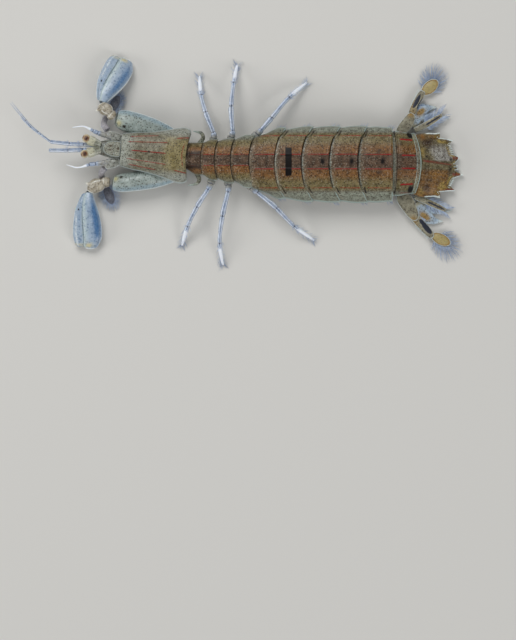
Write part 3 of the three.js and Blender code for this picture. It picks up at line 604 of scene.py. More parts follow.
class SHRIMP_OT_eyes(Operator):
    """Make the small two-lobed eyes on their club-shaped stalks"""

    bl_idname = "shrimp.eyes"
    bl_label = "Eyes"

    def execute(self, context):
        eyes = {
            "right": ((-20.7, 2.15, 4.6), (-22.45, 2.95, 5.05), (-22.85, 3.15, 5.15), 0.72),
            "left": ((-20.7, 1.45, 4.6), (-22.6, 0.97, 5.05), (-23.1, 0.83, 5.15), 0.7),
        }
        for side, sign in SIDES:
            base, neck, middle, radius = (np.array(v) for v in eyes[side])
            look = unit(middle - base)
            across = unit(np.cross(UP, look))
            rise = np.cross(look, across)

            def lens(along, angle):
                polar = math.pi * along
                girth = np.sin(polar)
                out = np.stack((girth * np.cos(angle), girth * np.sin(angle), -np.cos(polar)), -1)
                size = radius * (1 - 0.09 * ridge(out[:, 1], 0, 0.16))
                points = middle + size[:, None] * (
                    across * out[:, :1] * 0.92 + rise * out[:, 1:2] + look * out[:, 2:] * 0.84
                )
                above = np.hypot(out[:, 0], (out[:, 2] - 0.1) * 0.9)
                field = 0.8 * fade(above, 0.42, 0.72) * ramp(out[:, 1], 0, 0.2)
                pupil = ridge(np.hypot(out[:, 0] * 0.8, out[:, 2] - 0.15), 0, 0.38) * ramp(out[:, 1], 0, 0.2)
                return points, {
                    "spot": most(field, 0.8 * ramp(out[:, 2], 0.8, 0.93)),
                    "dark": 0.9 * pupil,
                    "gold": 1.2 * ridge(above, 0.88, 0.14),
                }

            finished(laid_sphere(f"eye_{side}", 64, 48, lens), "eye", "eye", f"cornea_{side}")
            finished(limb(
                f"eyestalk_skin_{side}", [base, (base + neck) / 2 + (0, 0, 0.04), neck + look * 0.15],
                (0.5, 0.6, 0.72, 0.74), (0.4, 0.5, 0.6, 0.64), sides=40, rows=44, blunt=0.12,
                marks=lambda t, u, s: {
                    "gold": ramp(t, 0.4, 0.7), "edge": 0.5 * ridge(u * sign, -0.6, 0.3),
                    "dark": 0.75 * ridge(np.abs(u), 0.45, 0.16) * ridge(t, 0.3, 0.2) * ramp(s, 0, 0.3)},
            ), "stalk", "underside", f"eyestalk_{side}")
        return {"FINISHED"}


WISP_HAIRS = 14


class SHRIMP_OT_feelers(Operator):
    """Make both pairs of feelers: the antennules in front and the antennae beside them"""

    bl_idname = "shrimp.feelers"
    bl_label = "Feelers"

    def execute(self, context):
        def jointed(t, u, s):
            joints = most(ridge(t, 0.3, 0.012), ridge(t, 0.66, 0.012))
            return {"edge": most(0.8 * ridge(u, 0.5, 0.25) * ramp(s, 0, 0.4), 0.4 * ridge(t, 0.27, 0.02)),
                    "joint": 0.9 * joints, "dark": 0.35 * ridge(u, -0.4, 0.3) * ramp(s, 0, 0.3)}

        whip = [(-28.2, 2.65, 4.3), (-29.9, 3.9, 4.7), (-31.2, 4.95, 5), (-32.5, 6.35, 5.2),
                (-34.2, 8.4, 5.3)]
        forms = [limb(
            "antennule_right_stem",
            [(-21, 2.25, 3.95), (-23.5, 2.3, 3.9), (-25.5, 2.4, 4), (-28.3, 2.7, 4.3)],
            (0.36, 0.33, 0.3, 0.29, 0.27), rows=90, joints=(0.3, 0.66), marks=jointed,
        )]
        # Three whips that part from one another, the last of them shorter.
        for k, (side_step, up_step, reach) in enumerate(((0, 0, 5), (0.16, 0.06, 5), (-0.12, 0.14, 4))):
            points = [np.array(p) + (side_step * i * 0.35, side_step * i * 0.3, up_step * i * 0.5)
                      for i, p in enumerate(whip[:reach])]
            forms.append(limb(f"antennule_right_whip_{k}", points, (0.17, 0.14, 0.11, 0.08, 0.04), sides=12,
                              rows=110, joints=tuple(np.linspace(0.05, 0.95, 24)), marks=jointed))
        finished(joined("antennule_feeler_right", *forms), "limb", "limb", "antennule_right")
        rng = np.random.default_rng(4)
        wisps = []
        for k, (x, y) in enumerate(((-23.9, 2.3), (-25.6, 2.4), (-23.9, 1.48), (-25.7, 1.4))):
            root = np.column_stack((x + rng.normal(0, 0.06, WISP_HAIRS),
                                    y + rng.uniform(-0.28, 0.28, WISP_HAIRS),
                                    4.2 + 0 * rng.uniform(size=WISP_HAIRS)))
            side_way = np.sign(root[:, 1] - y) * rng.uniform(0.2, 0.5, WISP_HAIRS)
            forward = -rng.uniform(0.1, 0.4, WISP_HAIRS)
            wisps.append((root, root + np.column_stack((forward, side_way, 0.1 + 0 * side_way)),
                          strip(rng.uniform(0.4, 0.6, WISP_HAIRS), rng.uniform(size=WISP_HAIRS), k, 4)))
        finished(hair("antennule_wisps", wisps, setting_mm(context, "hair_thickness") * 0.8), "hair", "limb")
        finished(limb(
            "antennule_feeler_left",
            [(-21, 1.48, 3.95), (-23.7, 1.48, 3.9), (-25.7, 1.4, 4), (-28.5, 1.4, 4.3)],
            (0.36, 0.33, 0.3, 0.29), rows=90, joints=(0.3, 0.66), marks=jointed,
        ), "limb", "limb", "antennule_left")

        roots = {
            "right": [(-19.7, 4.45), (-17.7, 3.85), (-17.4, 3.7), (-17.7, 2.55), (-18.7, 2.2), (-19.2, 3.1)],
            "left": [(-19.5, 0.15), (-18.1, 0.35), (-17.8, -0.3), (-18.0, -1.05), (-20.2, -1.5),
                     (-19.7, -0.5)],
        }
        antennae = {
            "right": [(-17.95, 3.45, 4), (-18.9, 3.5, 4.05), (-19.8, 3.6, 4.1), (-21.1, 4, 4.15),
                      (-21.8, 4.3, 4.2), (-22.95, 4.88, 4.3), (-23.7, 4.98, 4.35), (-25, 4.82, 4.4)],
            "left": [(-18.15, -0.3, 4), (-19, -0.3, 4.05), (-19.9, -0.35, 4.1), (-21.4, -0.6, 4.15),
                     (-22.4, -0.72, 4.2), (-23.6, -1.1, 4.3), (-24.5, -1.15, 4.35), (-25.9, -0.75, 4.4)],
        }
        for side in roots:
            corners = rounded(roots[side], 2)
            middle = corners.mean(axis=0)
            finished(plate(
                f"antenna_plate_{side}", corners, middle,
                lambda x, y, share: 4.42 + 0.16 * (1 - share**2) - 0.1 * ridge(share, 0.8, 0.1),
                lambda x, y, share: 3.9 + 0 * x, sides=96, rows=32,
                marks=lambda x, y, share, upper: {
                    "edge": 0.8 * ramp(share, 0.88, 0.96),
                    "dark": 0.7 * ridge(share, 0.8, 0.05) * ridge(x, middle[0], 0.6)},
            ), "root", "limb")
            finished(limb(
                f"antenna_feeler_{side}", antennae[side], (0.5, 0.6, 0.42, 0.34, 0.28, 0.12, 0.11, 0.05),
                (0.3, 0.36, 0.36, 0.3, 0.26, 0.12, 0.11, 0.05), sides=28, rows=140, joints=(0.3, 0.44, 0.58),
                marks=lambda t, u, s: {
                    "gold": 0.9 * fade(t, 0.36, 0.44),
                    "edge": most(ramp(t, 0.6, 0.66), 0.6 * ramp(np.abs(u), 0.8, 1)),
                    "joint": most(0.8 * ridge(t, 0.44, 0.012), 0.8 * ridge(t, 0.58, 0.012))},
            ), "limb", "limb", f"antenna_{side}")
        return {"FINISHED"}


FEELER_SCALES = {
    # stem, middle of the leaf, its half length and half width, its direction, and the fan's reach
    "right": ([(-19.75, 4.5, 3.35), (-20.3, 5.3, 2.4), (-20.15, 6.3, 1.3), (-19.4, 7.6, 0.8)],
              (-18.75, 8.55), 1.55, 0.75, math.radians(62), 1.1),
    "left": ([(-20.2, -1.2, 3.3), (-20.7, -2, 2.4), (-20.55, -2.9, 1.3), (-20.1, -4.1, 0.8)],
             (-19.6, -5.2), 1.6, 0.8, math.radians(-68), 1.25),
}


def fan_hairs(middle, half_length, half_width, turn, reach_tip, reach_side, z, count, spread=2.5, seed=3,
              tip_z=0.2, ahead=0.45):
    """Hairs round an oval, longest at its far end and leaning that way by `ahead`."""
    rng = np.random.default_rng(seed)
    a = np.linspace(-spread, spread, count) + rng.normal(0, 0.02, count)
    c, s = math.cos(turn), math.sin(turn)
    local = np.stack((half_length * np.cos(a), half_width * np.sin(a)), axis=-1) * 0.96
    way = unit(np.stack((np.cos(a) * half_width + ahead, np.sin(a) * half_length), axis=-1))
    reach = reach_side + (reach_tip - reach_side) * (0.5 + 0.5 * np.cos(a)) ** 1.3
    reach = reach * rng.uniform(0.8, 1.0, count)
    ends = local + way * reach[:, None]
    placed = [np.stack((middle[0] + p[:, 0] * c - p[:, 1] * s, middle[1] + p[:, 0] * s + p[:, 1] * c), -1)
              for p in (local, ends)]
    roots = np.column_stack((placed[0], z + rng.normal(0, 0.03, count)))
    tips = np.column_stack((placed[1], most(tip_z + rng.normal(0, 0.05, count), 0.02)))
    return roots, tips, strip(0.5 + a / (2 * math.pi), np.full(count, (seed % 7) / 7), 0, 1)


class SHRIMP_OT_feeler_scales(Operator):
    """Make the oval feeler scales with their fans of hair, which pass under the claws"""

    bl_idname = "shrimp.feeler_scales"
    bl_label = "Feeler scales"

    def execute(self, context):
        thick = setting_mm(context, "hair_thickness")
        for side, (stem, middle, half_length, half_width, turn, reach) in FEELER_SCALES.items():
            stalk = limb(
                f"scale_stalk_{side}", stem, (0.5, 0.46, 0.44, 0.36), (0.32, 0.28, 0.24, 0.2),
                joints=(0.35, 0.7),
                marks=lambda t, u, s: {"gold": 0.9 + 0 * t, "edge": 0.4 * ramp(u, 0.6, 1)})
            leaf = plate(
                f"scale_leaf_{side}", oval(middle, half_length, half_width, turn), middle,
                lambda x, y, share: 0.72 + 0.1 * (1 - share**2), lambda x, y, share: 0.6 + 0 * x,
                sides=96, rows=32, marks=lambda x, y, share, upper: {
                    "edge": 0.8 * ramp(share, 0.8, 0.95), "gold": 0.35 * (1 - share)})
            finished(joined(f"feeler_scale_{side}", stalk, leaf), "scale", "fin", f"antennal_scale_{side}")
            sets = [fan_hairs(middle, half_length, half_width, turn, reach * k, reach * 0.95 * k, 0.66, 80,
                              seed=5 + i, tip_z=0.5) for i, k in enumerate((1.0, 0.7))]
            finished(hair(f"feeler_scale_fringe_{side}", sets, thick), "hair", "fin")
        return {"FINISHED"}


# The claws

CLAWS = {
    "right": {
        "length": 8.05,
        "merus": [(-8.8, 3.2, 2.35), (-10.6, 3.7, 2.4), (-13.5, 4.85, 2.6), (-17.1, 5.9, 2.95),
                  (-18.6, 6.3, 3.1)],
        "carpus": [(-18.8, 6.45, 3.15), (-19.4, 6.95, 3.4), (-20.2, 7.65, 3.45), (-20.65, 8.4, 3.3)],
        "wrist": (-20.65, 8.35, 3.05), "heading": (-17.5, 15.4, 0.5), "wide": (0.8, 1.35, 1.62, 1.6, 1.0),
    },
    "left": {
        "length": 8.6,
        "merus": [(-8.8, -1.95, 2.35), (-10.6, -2.25, 2.4), (-13.5, -2.85, 2.5), (-17.6, -3.4, 2.5),
                  (-19.1, -3.35, 2.45)],
        "carpus": [(-19.4, -3.35, 2.4), (-20.4, -3.3, 2.35), (-21.7, -3.75, 2.15), (-22.3, -4.75, 1.8)],
        "wrist": (-22.6, -4.5, 1.4), "heading": (-22.95, -13.1, 0.9), "wide": (0.8, 1.3, 1.5, 1.38, 1.0),
    },
}
FINGER_EDGE = (-0.85, -1.45, -1.95, -2.15, -2.2, -2.1, -1.7)
SEAM = (-0.35, -0.75, -0.85, -0.8, -0.65, -0.5, -0.45)
FREE_EDGE = (0.5, 0.95, 1.5, 1.95, 2.2, 2.2, 1.6)


def claw_blade(name, side, inner, outer, start, end, thickness, relief, marks):
    """Half of a shut claw. marks(t, u, s) has u from -1 at the finger's side to 1 at the free edge."""
    plan = CLAWS[side]
    wrist, heading = np.array(plan["wrist"]), np.array(plan["heading"])
    ahead = unit(heading - wrist)
    aft = unit(np.cross(UP, ahead))
    aft = -aft if aft[0] < 0 else aft
    rise = unit(np.cross(ahead, aft))
    rise = -rise if rise[2] < 0 else rise

    def place(along, angle):
        t = 0.5 * along + 0.5 * (0.5 - 0.5 * np.cos(math.pi * along))
        share = start + (end - start) * t
        a, b = eased(inner, share), eased(outer, share)
        swell = np.sqrt(1 - (1 - np.clip(np.minimum(t / 0.05, (1 - t) / 0.07), 0, 1)) ** 2)
        u, s = np.cos(angle), np.sin(angle)
        flat = np.sign(u) * np.abs(u) ** 0.85
        middle, half = (a + b) / 2, (b - a) / 2
        height = eased(thickness, t) * np.sign(s) * np.abs(s) ** 0.75 * swell
        height = height + relief(t, u) * ramp(s, 0.0, 0.3) * swell
        points = wrist + np.outer(share * plan["length"], ahead) + np.outer(middle + flat * half * swell, aft)
        return points + np.outer(height, rise), marks(t, u, s)

    return laid_sphere(name, 96, 90, place)


class SHRIMP_OT_claws(Operator):
    """Make both shut claws with their arms and wrists"""

    bl_idname = "shrimp.claws"
    bl_label = "Claws"

    def execute(self, context):
        for side, sign in SIDES:
            plan = CLAWS[side]
            finished(limb(
                f"claw_arm_{side}", plan["merus"], plan["wide"], (0.65, 1, 1.4, 1.55, 0.9), sides=96, rows=90,
                blunt=0.1, marks=lambda t, u, s: {
                    "blue": 0.9 * ramp(-sign * u, 0.3, 0.85),
                    "edge": 0.9 * ramp(-sign * u, 0.88, 0.97),
                    "gold": ridge(t, 0.86, 0.07) * ridge(sign * u, 0.45, 0.35) * ramp(s, 0, 0.3),
                    "dark": most(0.95 * ridge(t, 0.75, 0.03) * ridge(sign * u, 0.6, 0.16),
                                 0.7 * ridge(t, 0.95, 0.02)),
                },
            ), "arm", "merus", f"claw_merus_{side}")
            wrist_points = np.array(plan["carpus"], dtype=float)
            knob = limb(
                f"wrist_block_{side}", wrist_points, (0.6, 0.78, 0.62, 0.92, 0.84, 0.62),
                (0.7, 0.8, 0.66, 0.85, 0.8, 0.62), sides=64, rows=70, blunt=0.05, joints=(0.38, 0.8),
                marks=lambda t, u, s: {
                    "edge": most(0.8 * ramp(t, 0.88, 0.95), 0.7 * ridge(t, 0.3, 0.02),
                                 0.8 * ridge(u, sign * 0.5, 0.12) * ridge(t, 0.5, 0.3)),
                    "dark": most(0.5 * ridge(t, 0.4, 0.02) * ramp(s, 0, 0.4),
                                 0.6 * ridge(u, -0.2 * sign, 0.1) * ridge(t, 0.7, 0.12))})
            root = wrist_points[2] + (0, 0, 0.3)
            spine = limb(
                f"wrist_spine_{side}",
                [root, root + (-0.7, -0.1 * sign, 0.1), root + (-1.3, -0.35 * sign, 0.1)],
                (0.5, 0.34, 0.06), rows=30, marks=lambda t, u, s: {"edge": ramp(t, 0.6, 0.9)})
            root, tip = wrist_points[1] + (0, 0, 0.2), wrist_points[3]
            hood = limb(
                f"wrist_hood_{side}", [root, (root + tip) / 2 + (0.35, 0, 0.15), tip + (0.35, 0, 0)],
                (0.45, 0.7, 0.3), (0.6, 0.75, 0.6), rows=40, blunt=0.15,
                marks=lambda t, u, s: {"edge": 0.7 * ramp(np.abs(u), 0.8, 0.95)})
            finished(joined(f"claw_wrist_{side}", knob, spine, hood), "wrist", "merus", f"claw_carpus_{side}")
            finished(claw_blade(
                f"claw_palm_{side}", side, np.array(SEAM) - 0.12, FREE_EDGE, 0, 1.03,
                (0.6, 0.95, 1.15, 1.15, 1.1, 0.95, 0.5),
                lambda t, u: (0.09 * ridge(u, 0.95, 0.06) - 0.08 * ridge(u, 0.8, 0.1)
                              + 0.12 * ridge(u, -0.8, 0.16)
                              - 0.06 * ridge(t, 0.86, 0.03) * fade(u, 0.2, 0.6)),
                lambda t, u, s: {
                    "edge": most(ramp(u, 0.93, 0.98), 0.35 * ridge(u, -0.62, 0.07) * ramp(s, 0, 0.3),
                                 0.75 * ramp(t, 0.95, 0.99)),
                    "seam": 0.8 * fade(u, -0.75, -0.1) * ramp(s, -0.2, 0.2),
                    "blue": (0.85 if side == "right" else 1.1) * ridge(u, 0.45, 0.42) * ramp(t, -0.1, 0.4)
                            * fade(t, 0.66, 0.98),
                    "gold": 0.9 * ridge(t, 0.93, 0.05) * ridge(u, -0.2, 0.5) * ramp(s, 0, 0.3),
                    "dark": 0.7 * ridge(t, 0.02, 0.02),
                },
            ), "claw", "claw", f"claw_propodus_{side}")
            notch = 0.3 if side == "left" else 0.36
            finished(claw_blade(
                f"claw_finger_{side}", side, FINGER_EDGE, np.array(SEAM) + 0.05, 0.05, 1.0,
                (0.35, 0.6, 0.8, 0.9, 0.9, 0.8, 0.5),
                lambda t, u: (0.1 * ridge(u, -0.55, 0.2) - 0.06 * ridge(u, 0.0, 0.3)
                              + 0.15 * ridge(u, 0.85, 0.25)),
                lambda t, u, s: {
                    # White along the finger's outer edge is partly its own pale rim and partly a painted
                    # highlight.
                    "edge": most(fade(u, -0.96, -0.88), 0.5 * ridge(u, -0.3, 0.25) * ramp(t, 0.3, 0.5)),
                    "blue": 0.35 * ridge(u, 0.2, 0.4) * band(t, 0.1, 0.3, 0.5, 0.8),
                    "seam": 0.6 * ramp(u, 0.4, 0.95),
                    "gold": 0.55 * ridge(t, 0.95, 0.04),
                    "dark": ridge(t, notch, 0.022) * ridge(u, -0.05, 0.14) * ramp(s, 0, 0.3),
                },
            ), "claw", "claw", f"claw_dactylus_{side}")
        return {"FINISHED"}


class SHRIMP_OT_mouth_limbs(Operator):
    """Make the two pairs of small limbs under the head"""

    bl_idname = "shrimp.mouth_limbs"
    bl_label = "Mouth limbs"

    def execute(self, context):
        for side, sign in SIDES:
            def mirrored(points):
                return head_point([(x, sign * y, z) for x, y, z in points])

            def pads(t, u, s):
                return {"edge": 0.8 * ramp(t, 0.7, 0.9), "dark": 0.3 * ridge(t, 0.55, 0.05)}

            finished(limb(f"mouth_limb_large_{side}", mirrored(
                [(-1.5, 0.95, 1.1), (-3.4, 1.5, 0.9), (-5.2, 1.4, 0.8), (-6.6, 0.9, 0.8)]),
                (0.3, 0.5, 0.42, 0.46, 0.34), (0.3, 0.36, 0.33, 0.34, 0.3), joints=(0.45, 0.72), blunt=0.06,
                marks=pads), "leaf", "leaf", f"maxilliped_large_{side}")
            finished(limb(f"mouth_limb_small_{side}",
                          mirrored([(-9.3, 0.55, 1.8), (-8.4, 1.05, 1.4), (-7.2, 1.7, 1.1)]),
                          (0.27, 0.45, 0.4, 0.27), (0.27, 0.33, 0.3, 0.27), joints=(0.5,), blunt=0.12,
                          marks=pads),
                     "leaf", "leaf", f"maxilliped_small_{side}")
        return {"FINISHED"}


# The body rings

# Front and rear edge, middle in front and behind, half widths, tops.
THORAX = (
    (-7.75, -5.75, (0.5, 0.2), (2.15, 2.5), (5.35, 5.5)),
    (-5.65, -3.7, (0.15, 0.05), (2.6, 3.15), (5.5, 5.7)),
    (-3.6, -1.3, (0.0, -0.1), (2.95, 3.45), (5.65, 5.85)),
    (-1.2, 1.5, (-0.1, -0.2), (3.3, 4.05), (5.75, 5.95)),
)
SICKLES = {
    "right": [(-6.4, 2, 3.1), (-5.75, 2.75, 3.2), (-5.4, 3.4, 3.3), (-5.75, 4.05, 3.35), (-6.9, 4.3, 3.35)],
    "left": [(-6.6, -1.6, 3.1), (-6.15, -2.45, 3.2), (-6, -3, 3.3), (-6.4, -3.55, 3.35), (-7.7, -3.8, 3.35)],
}
# Front and rear edge, middle, half widths in front and behind, top, side edge, how far the flaps lie
# back, and how strongly the rear edge curves.
ABDOMEN = (
    (1.65, 5.3, -0.45, (4.15, 5.4), 6.1, 2.5, 1.2, 0.045),
    (5.4, 9.3, -0.57, (5.35, 5.75), 6.3, 2.2, 1.0, 0.045),
    (9.4, 13.45, -0.6, (5.65, 5.8), 6.3, 2.1, 0.95, 0.045),
    (13.55, 17.75, -0.63, (5.7, 5.85), 6.3, 2.1, 0.85, 0.035),
    (17.9, 22.95, -0.65, (5.75, 5.65), 6.0, 2.2, 0.0, 0.0),
    (23.1, 27.3, -0.5, (5, 4.6), 5.2, 2.3, 0.0, -0.045),
)
DARK_SPOTS = {3: 12.42, 4: 16.77, 5: 21.42}  # where each ring's dark spot lies along the body
TUCK = 0.3  # how far a ring's front slips under the ring before it
LIP = 0.2  # how far its front lies below its back


class SHRIMP_OT_thorax(Operator):
    """Make the four free rings of the thorax, the first with its sickle-shaped side processes"""

    bl_idname = "shrimp.thorax"
    bl_label = "Thorax rings"

    def execute(self, context):
        height = setting_mm(context, "keel_height")
        for i, (start, end, middle, half, top) in enumerate(THORAX):
            front = start - TUCK

            def bowed(points, t):
                off = np.minimum(np.abs(points[:, 1] + 0.1), 3.6)
                points[:, 0] += 0.055 * off**2 * (t if i == 0 else 1)
                return points

            def keels(x, y, t):
                return ridge(np.abs(y + 0.08), 0.83, KEEL) * band(t, 0.3, 0.45, 0.93, 0.97)

            def lift(x, y, t, across):
                lip = 0.05 * ridge(t, 0.93, 0.03) - 0.04 * ridge(t, 0.4, 0.04)
                return 0.6 * height * keels(x, y, t) + lip

            def marks(x, y, t, across, s):
                off = np.abs(y + 0.1)
                upper = ramp(s, 0, 0.1)
                if i:
                    spot = 0.6 * ridge(y, -0.1, 0.35) * ridge(t, 0.6, 0.2)
                else:
                    spot = 0.7 * ridge(off, 1.0, 0.5) * upper
                return {
                    "red": (0.6 if i else 0.3) * keels(x, y, t) * upper,
                    "flank": 0.75 * band(off, 0.6, 1.0, 1.5, 3.0) * upper,
                    "olive": 0.75 * band(off, 1.5, 2.4, 2.9, 3.5) * upper,
                    "flap": 0.9 * ramp(off, 2.4, 3.6) * upper,
                    "front": 0.55 * fade(t, 0.2, 0.55) * upper,
                    "edge": 0.8 * ramp(np.abs(across), 0.95, 1),
                    "dark": ramp(t, 0.94, 0.97) * fade(off, 2.4, 3.4) * upper * (1 if i else 0.6),
                    "spot": spot,
                    "belly": fade(s, -0.2, 0.0),
                }

            ring = shield(f"thorax_shell_{i + 5}", [
                (front, middle[0], half[0] * 0.9, top[0] - LIP, 3.2, 2.3),
                (start + 0.1, middle[0], half[0] * 0.97, top[0] - LIP * 0.8, 3.1, 2.1),
                (start + (end - start) * 0.5, middle[1], half[1] * 0.97, top[1] - 0.02, 2.95, 2.0),
                (end, middle[1], half[1] * 0.98, top[1], 2.95, 2.2),
            ], sides=224, rows=54, place_point=bowed, lift=lift, marks=marks)
            if i == 0:
                spikes = [
                    limb(f"sickle_{side}", points, (0.4, 0.34, 0.3, 0.24, 0.06), (0.3, 0.26, 0.2, 0.16, 0.06),
                         rows=50, marks=lambda t, u, s: {"flap": 0.7 + 0 * t, "edge": 0.6 * ramp(t, 0.5, 1)})
                    for side, points in SICKLES.items()]
                ring = joined("thorax_shell_5", ring, *spikes)
            finished(ring, "back", "back", f"thorax_ring_{i + 5}")
        return {"FINISHED"}


def abdomen_keels(ring, y, t):
    """Red keels on the abdomen: two by the middle, two at the sides, and the last ring's eight."""
    off = np.abs(y - MIDLINE)
    along = band(t, 0.3, 0.42, 0.93, 0.97)
    if ring == 6:
        along = band(t, 0.4, 0.5, 0.78, 0.84)
        return along * most(
            ridge(off, 0.98, 0.12), ridge(off, 3.25 + 0.35 * (0.9 - t), 0.14), 0.5 * ridge(off, 4.6, 0.1))
    return along * most(ridge(off, 1.08, KEEL), 0.8 * ridge(off, 3.9, 0.1))


class SHRIMP_OT_abdomen(Operator):
    """Make the six rings of the abdomen, with their keels and side flaps"""

    bl_idname = "shrimp.abdomen"
    bl_label = "Abdomen rings"

    def execute(self, context):
        height = setting_mm(context, "keel_height")
        for i, (start, end, middle, half, top, edge, bow, curve) in enumerate(ABDOMEN):
            number = i + 1
            bow_before, curve_before = ABDOMEN[i - 1][6:] if i else (0.0, 0.055)
            front = start - TUCK
            drop = 0.95 if number == 6 else 0.0

            def bend(y, t):
                off = np.abs(y + 0.6)
                outer = np.clip((off - 3.4) / 2.35, 0, 1) ** 2
                near = np.minimum(off, 4.6) ** 2
                return (bow_before * (1 - t) + bow * t) * outer + (curve_before * (1 - t) + curve * t) * near

            def bowed(points, t):
                points[:, 0] += bend(points[:, 1], t)
                return points

            def lift(x, y, t, across):
                off = np.abs(y - MIDLINE)
                strength = 1.5 if number == 6 else 0.8
                groove = ridge(off, 4.6, 0.16) * band(t, 0.3, 0.4, 0.85, 0.93)
                seam = 0.1 if number == 6 else 0.04
                return (strength * height * abdomen_keels(number, y, t) - seam * ridge(t, 0.36, 0.03)
                        - 0.12 * groove + 0.06 * ridge(t, 0.93, 0.03))

            def marks(x, y, t, across, s):
                off = np.abs(y - MIDLINE)
                upper = ramp(s, 0, 0.1)
                is_last = number == 6
                spots = clouds = 0 * x
                if number in DARK_SPOTS:
                    spot_x = DARK_SPOTS[number]
                    spots = 0.85 * ridge(x, spot_x, 0.34) * ridge(y, -0.3, 0.5)
                    wing = 0.6 if number == 5 else 0.4
                    clouds = most(0.7 * ridge(x, spot_x, 0.6) * ridge(y, -0.3, 0.9),
                                  wing * ridge(x, spot_x - 0.5, 0.7) * ridge(off, 1.6, 0.5))
                if number == 2:
                    # The black bar, straight across the ring.
                    spots = band(x + bend(y, t), 6.85, 6.95, 7.8, 7.9) * band(y, -2.5, -2.4, 1.7, 1.8)
                corner = 1.1 * ridge(off, 4.05, 0.55) * band(t, 0.66, 0.74, 0.82, 0.86) * is_last
                flap_edge = most(0.9 * ramp(np.abs(across), 0.95, 0.99),
                                 0.75 * ramp(t, 0.94, 0.97) * ramp(off, 4.2, 4.8))
                hem = most(0.8 - 0.8 * ramp(t, 0.28, 0.36), 0.6 * ramp(t, 0.86, 0.89)) * is_last
                fold = 0.36 * ridge(t, 0.24, 0.05) * fade(off, 3.6, 4.6) * (number > 1)
                rear_line = ramp(t, 0.95, 0.975) * fade(off, 3.2, 4.3) * (number < 5)
                last_lines = most(0.85 * ridge(t, 0.975, 0.02), 0.7 * ridge(t, 0.86, 0.012)) * is_last
                # Painted shade: a dark line where each side flap's front meets the flap before it, standing
                # for the gap between them.
                flap_gap_shade = 0.7 * ridge(t, 0.33, 0.025) * band(off, 3.5, 3.9, 4.6, 5.0)
                return {
                    "red": (1.0 if is_last else 0.5 + 0.4 * t) * abdomen_keels(number, y, t) * upper,
                    "flank": (0.38 + 0.4 * t) * band(off, 0.8, 1.5, 2.1, 3.7) * upper,
                    "olive": 0.75 * band(off, 1.6, 3.4, 4.1, 4.8) * upper,
                    "flap": most(0.9 * ramp(off, 3.8, 4.9), hem) * upper,
                    "front": 0.62 * fade(t, 0.15, 0.5) * upper,
                    "edge": most(flap_edge, last_lines, fold) * upper,
                    # The dark spot at each side flap's front corner is painted shade in the gap between the
                    # flaps.
                    "spot": most(clouds * upper, 0.6 * ridge(off, 4.45, 0.3) * ridge(t, 0.32, 0.05)),
                    "dark": most(rear_line, spots, corner, 0.8 * ridge(t, 0.34, 0.012) * is_last,
                                 flap_gap_shade) * upper,
                    "belly": fade(s, -0.2, 0.0),
                }

            length = end - start
            finished(shield(f"abdomen_shell_{number}", [
                (front, middle, half[0] * 0.93, top - LIP - 0.05, edge + 0.2, 1.95),
                (start + 0.1, middle, half[0] * 0.97, top - LIP * 0.85, edge + 0.1, 1.85),
                (start + length * 0.35, middle, (half[0] * 2 + half[1]) / 3, top - 0.03, edge, 1.8),
                (start + length * 0.7, middle, half[1] * 0.995, top - drop * 0.6, edge - 0.1, 1.8),
                (end, middle, half[1] * 0.985, top - drop, edge - 0.05, 1.9),
            ], sides=256, rows=72, place_point=bowed, lift=lift, marks=marks), "back", "back",
                f"abdomen_ring_{number}")
        return {"FINISHED"}


# The legs

LEG_HEIGHTS = (2.9, 3.1, 3.3, 1.9, 0.24)  # at each point of a leg, from its root to its tip
LEG_JOINTS = (0.14, 0.27, 0.52, 0.76)  # as shares of its length
LEG_HAIRS = 90
LEGS = {
    "right_1": ((-3.9, 2.9), (-3.85, 4), (-4.95, 6.9), (-5.7, 9.65), (-6, 12.75)),
    "right_2": ((-1.3, 3.1), (-1, 4.2), (-1.2, 7.75), (-0.85, 11.5), (-0.3, 14.5)),
    "right_3": ((2.2, 3.4), (3.3, 4.5), (4.7, 6.1), (7.35, 9.3), (10.2, 11.8)),
    "left_1": ((-4.1, -3), (-4.6, -4.3), (-6.2, -6.8), (-7.7, -9.75), (-8.65, -12.8)),
    "left_2": ((-1.7, -3.3), (-1.65, -4.6), (-2.45, -8.05), (-2.95, -12.25), (-2.45, -15.75)),
    "left_3": ((1.4, -3.7), (2.6, -4.75), (5.35, -7), (8.1, -9.75), (11.3, -12)),
}


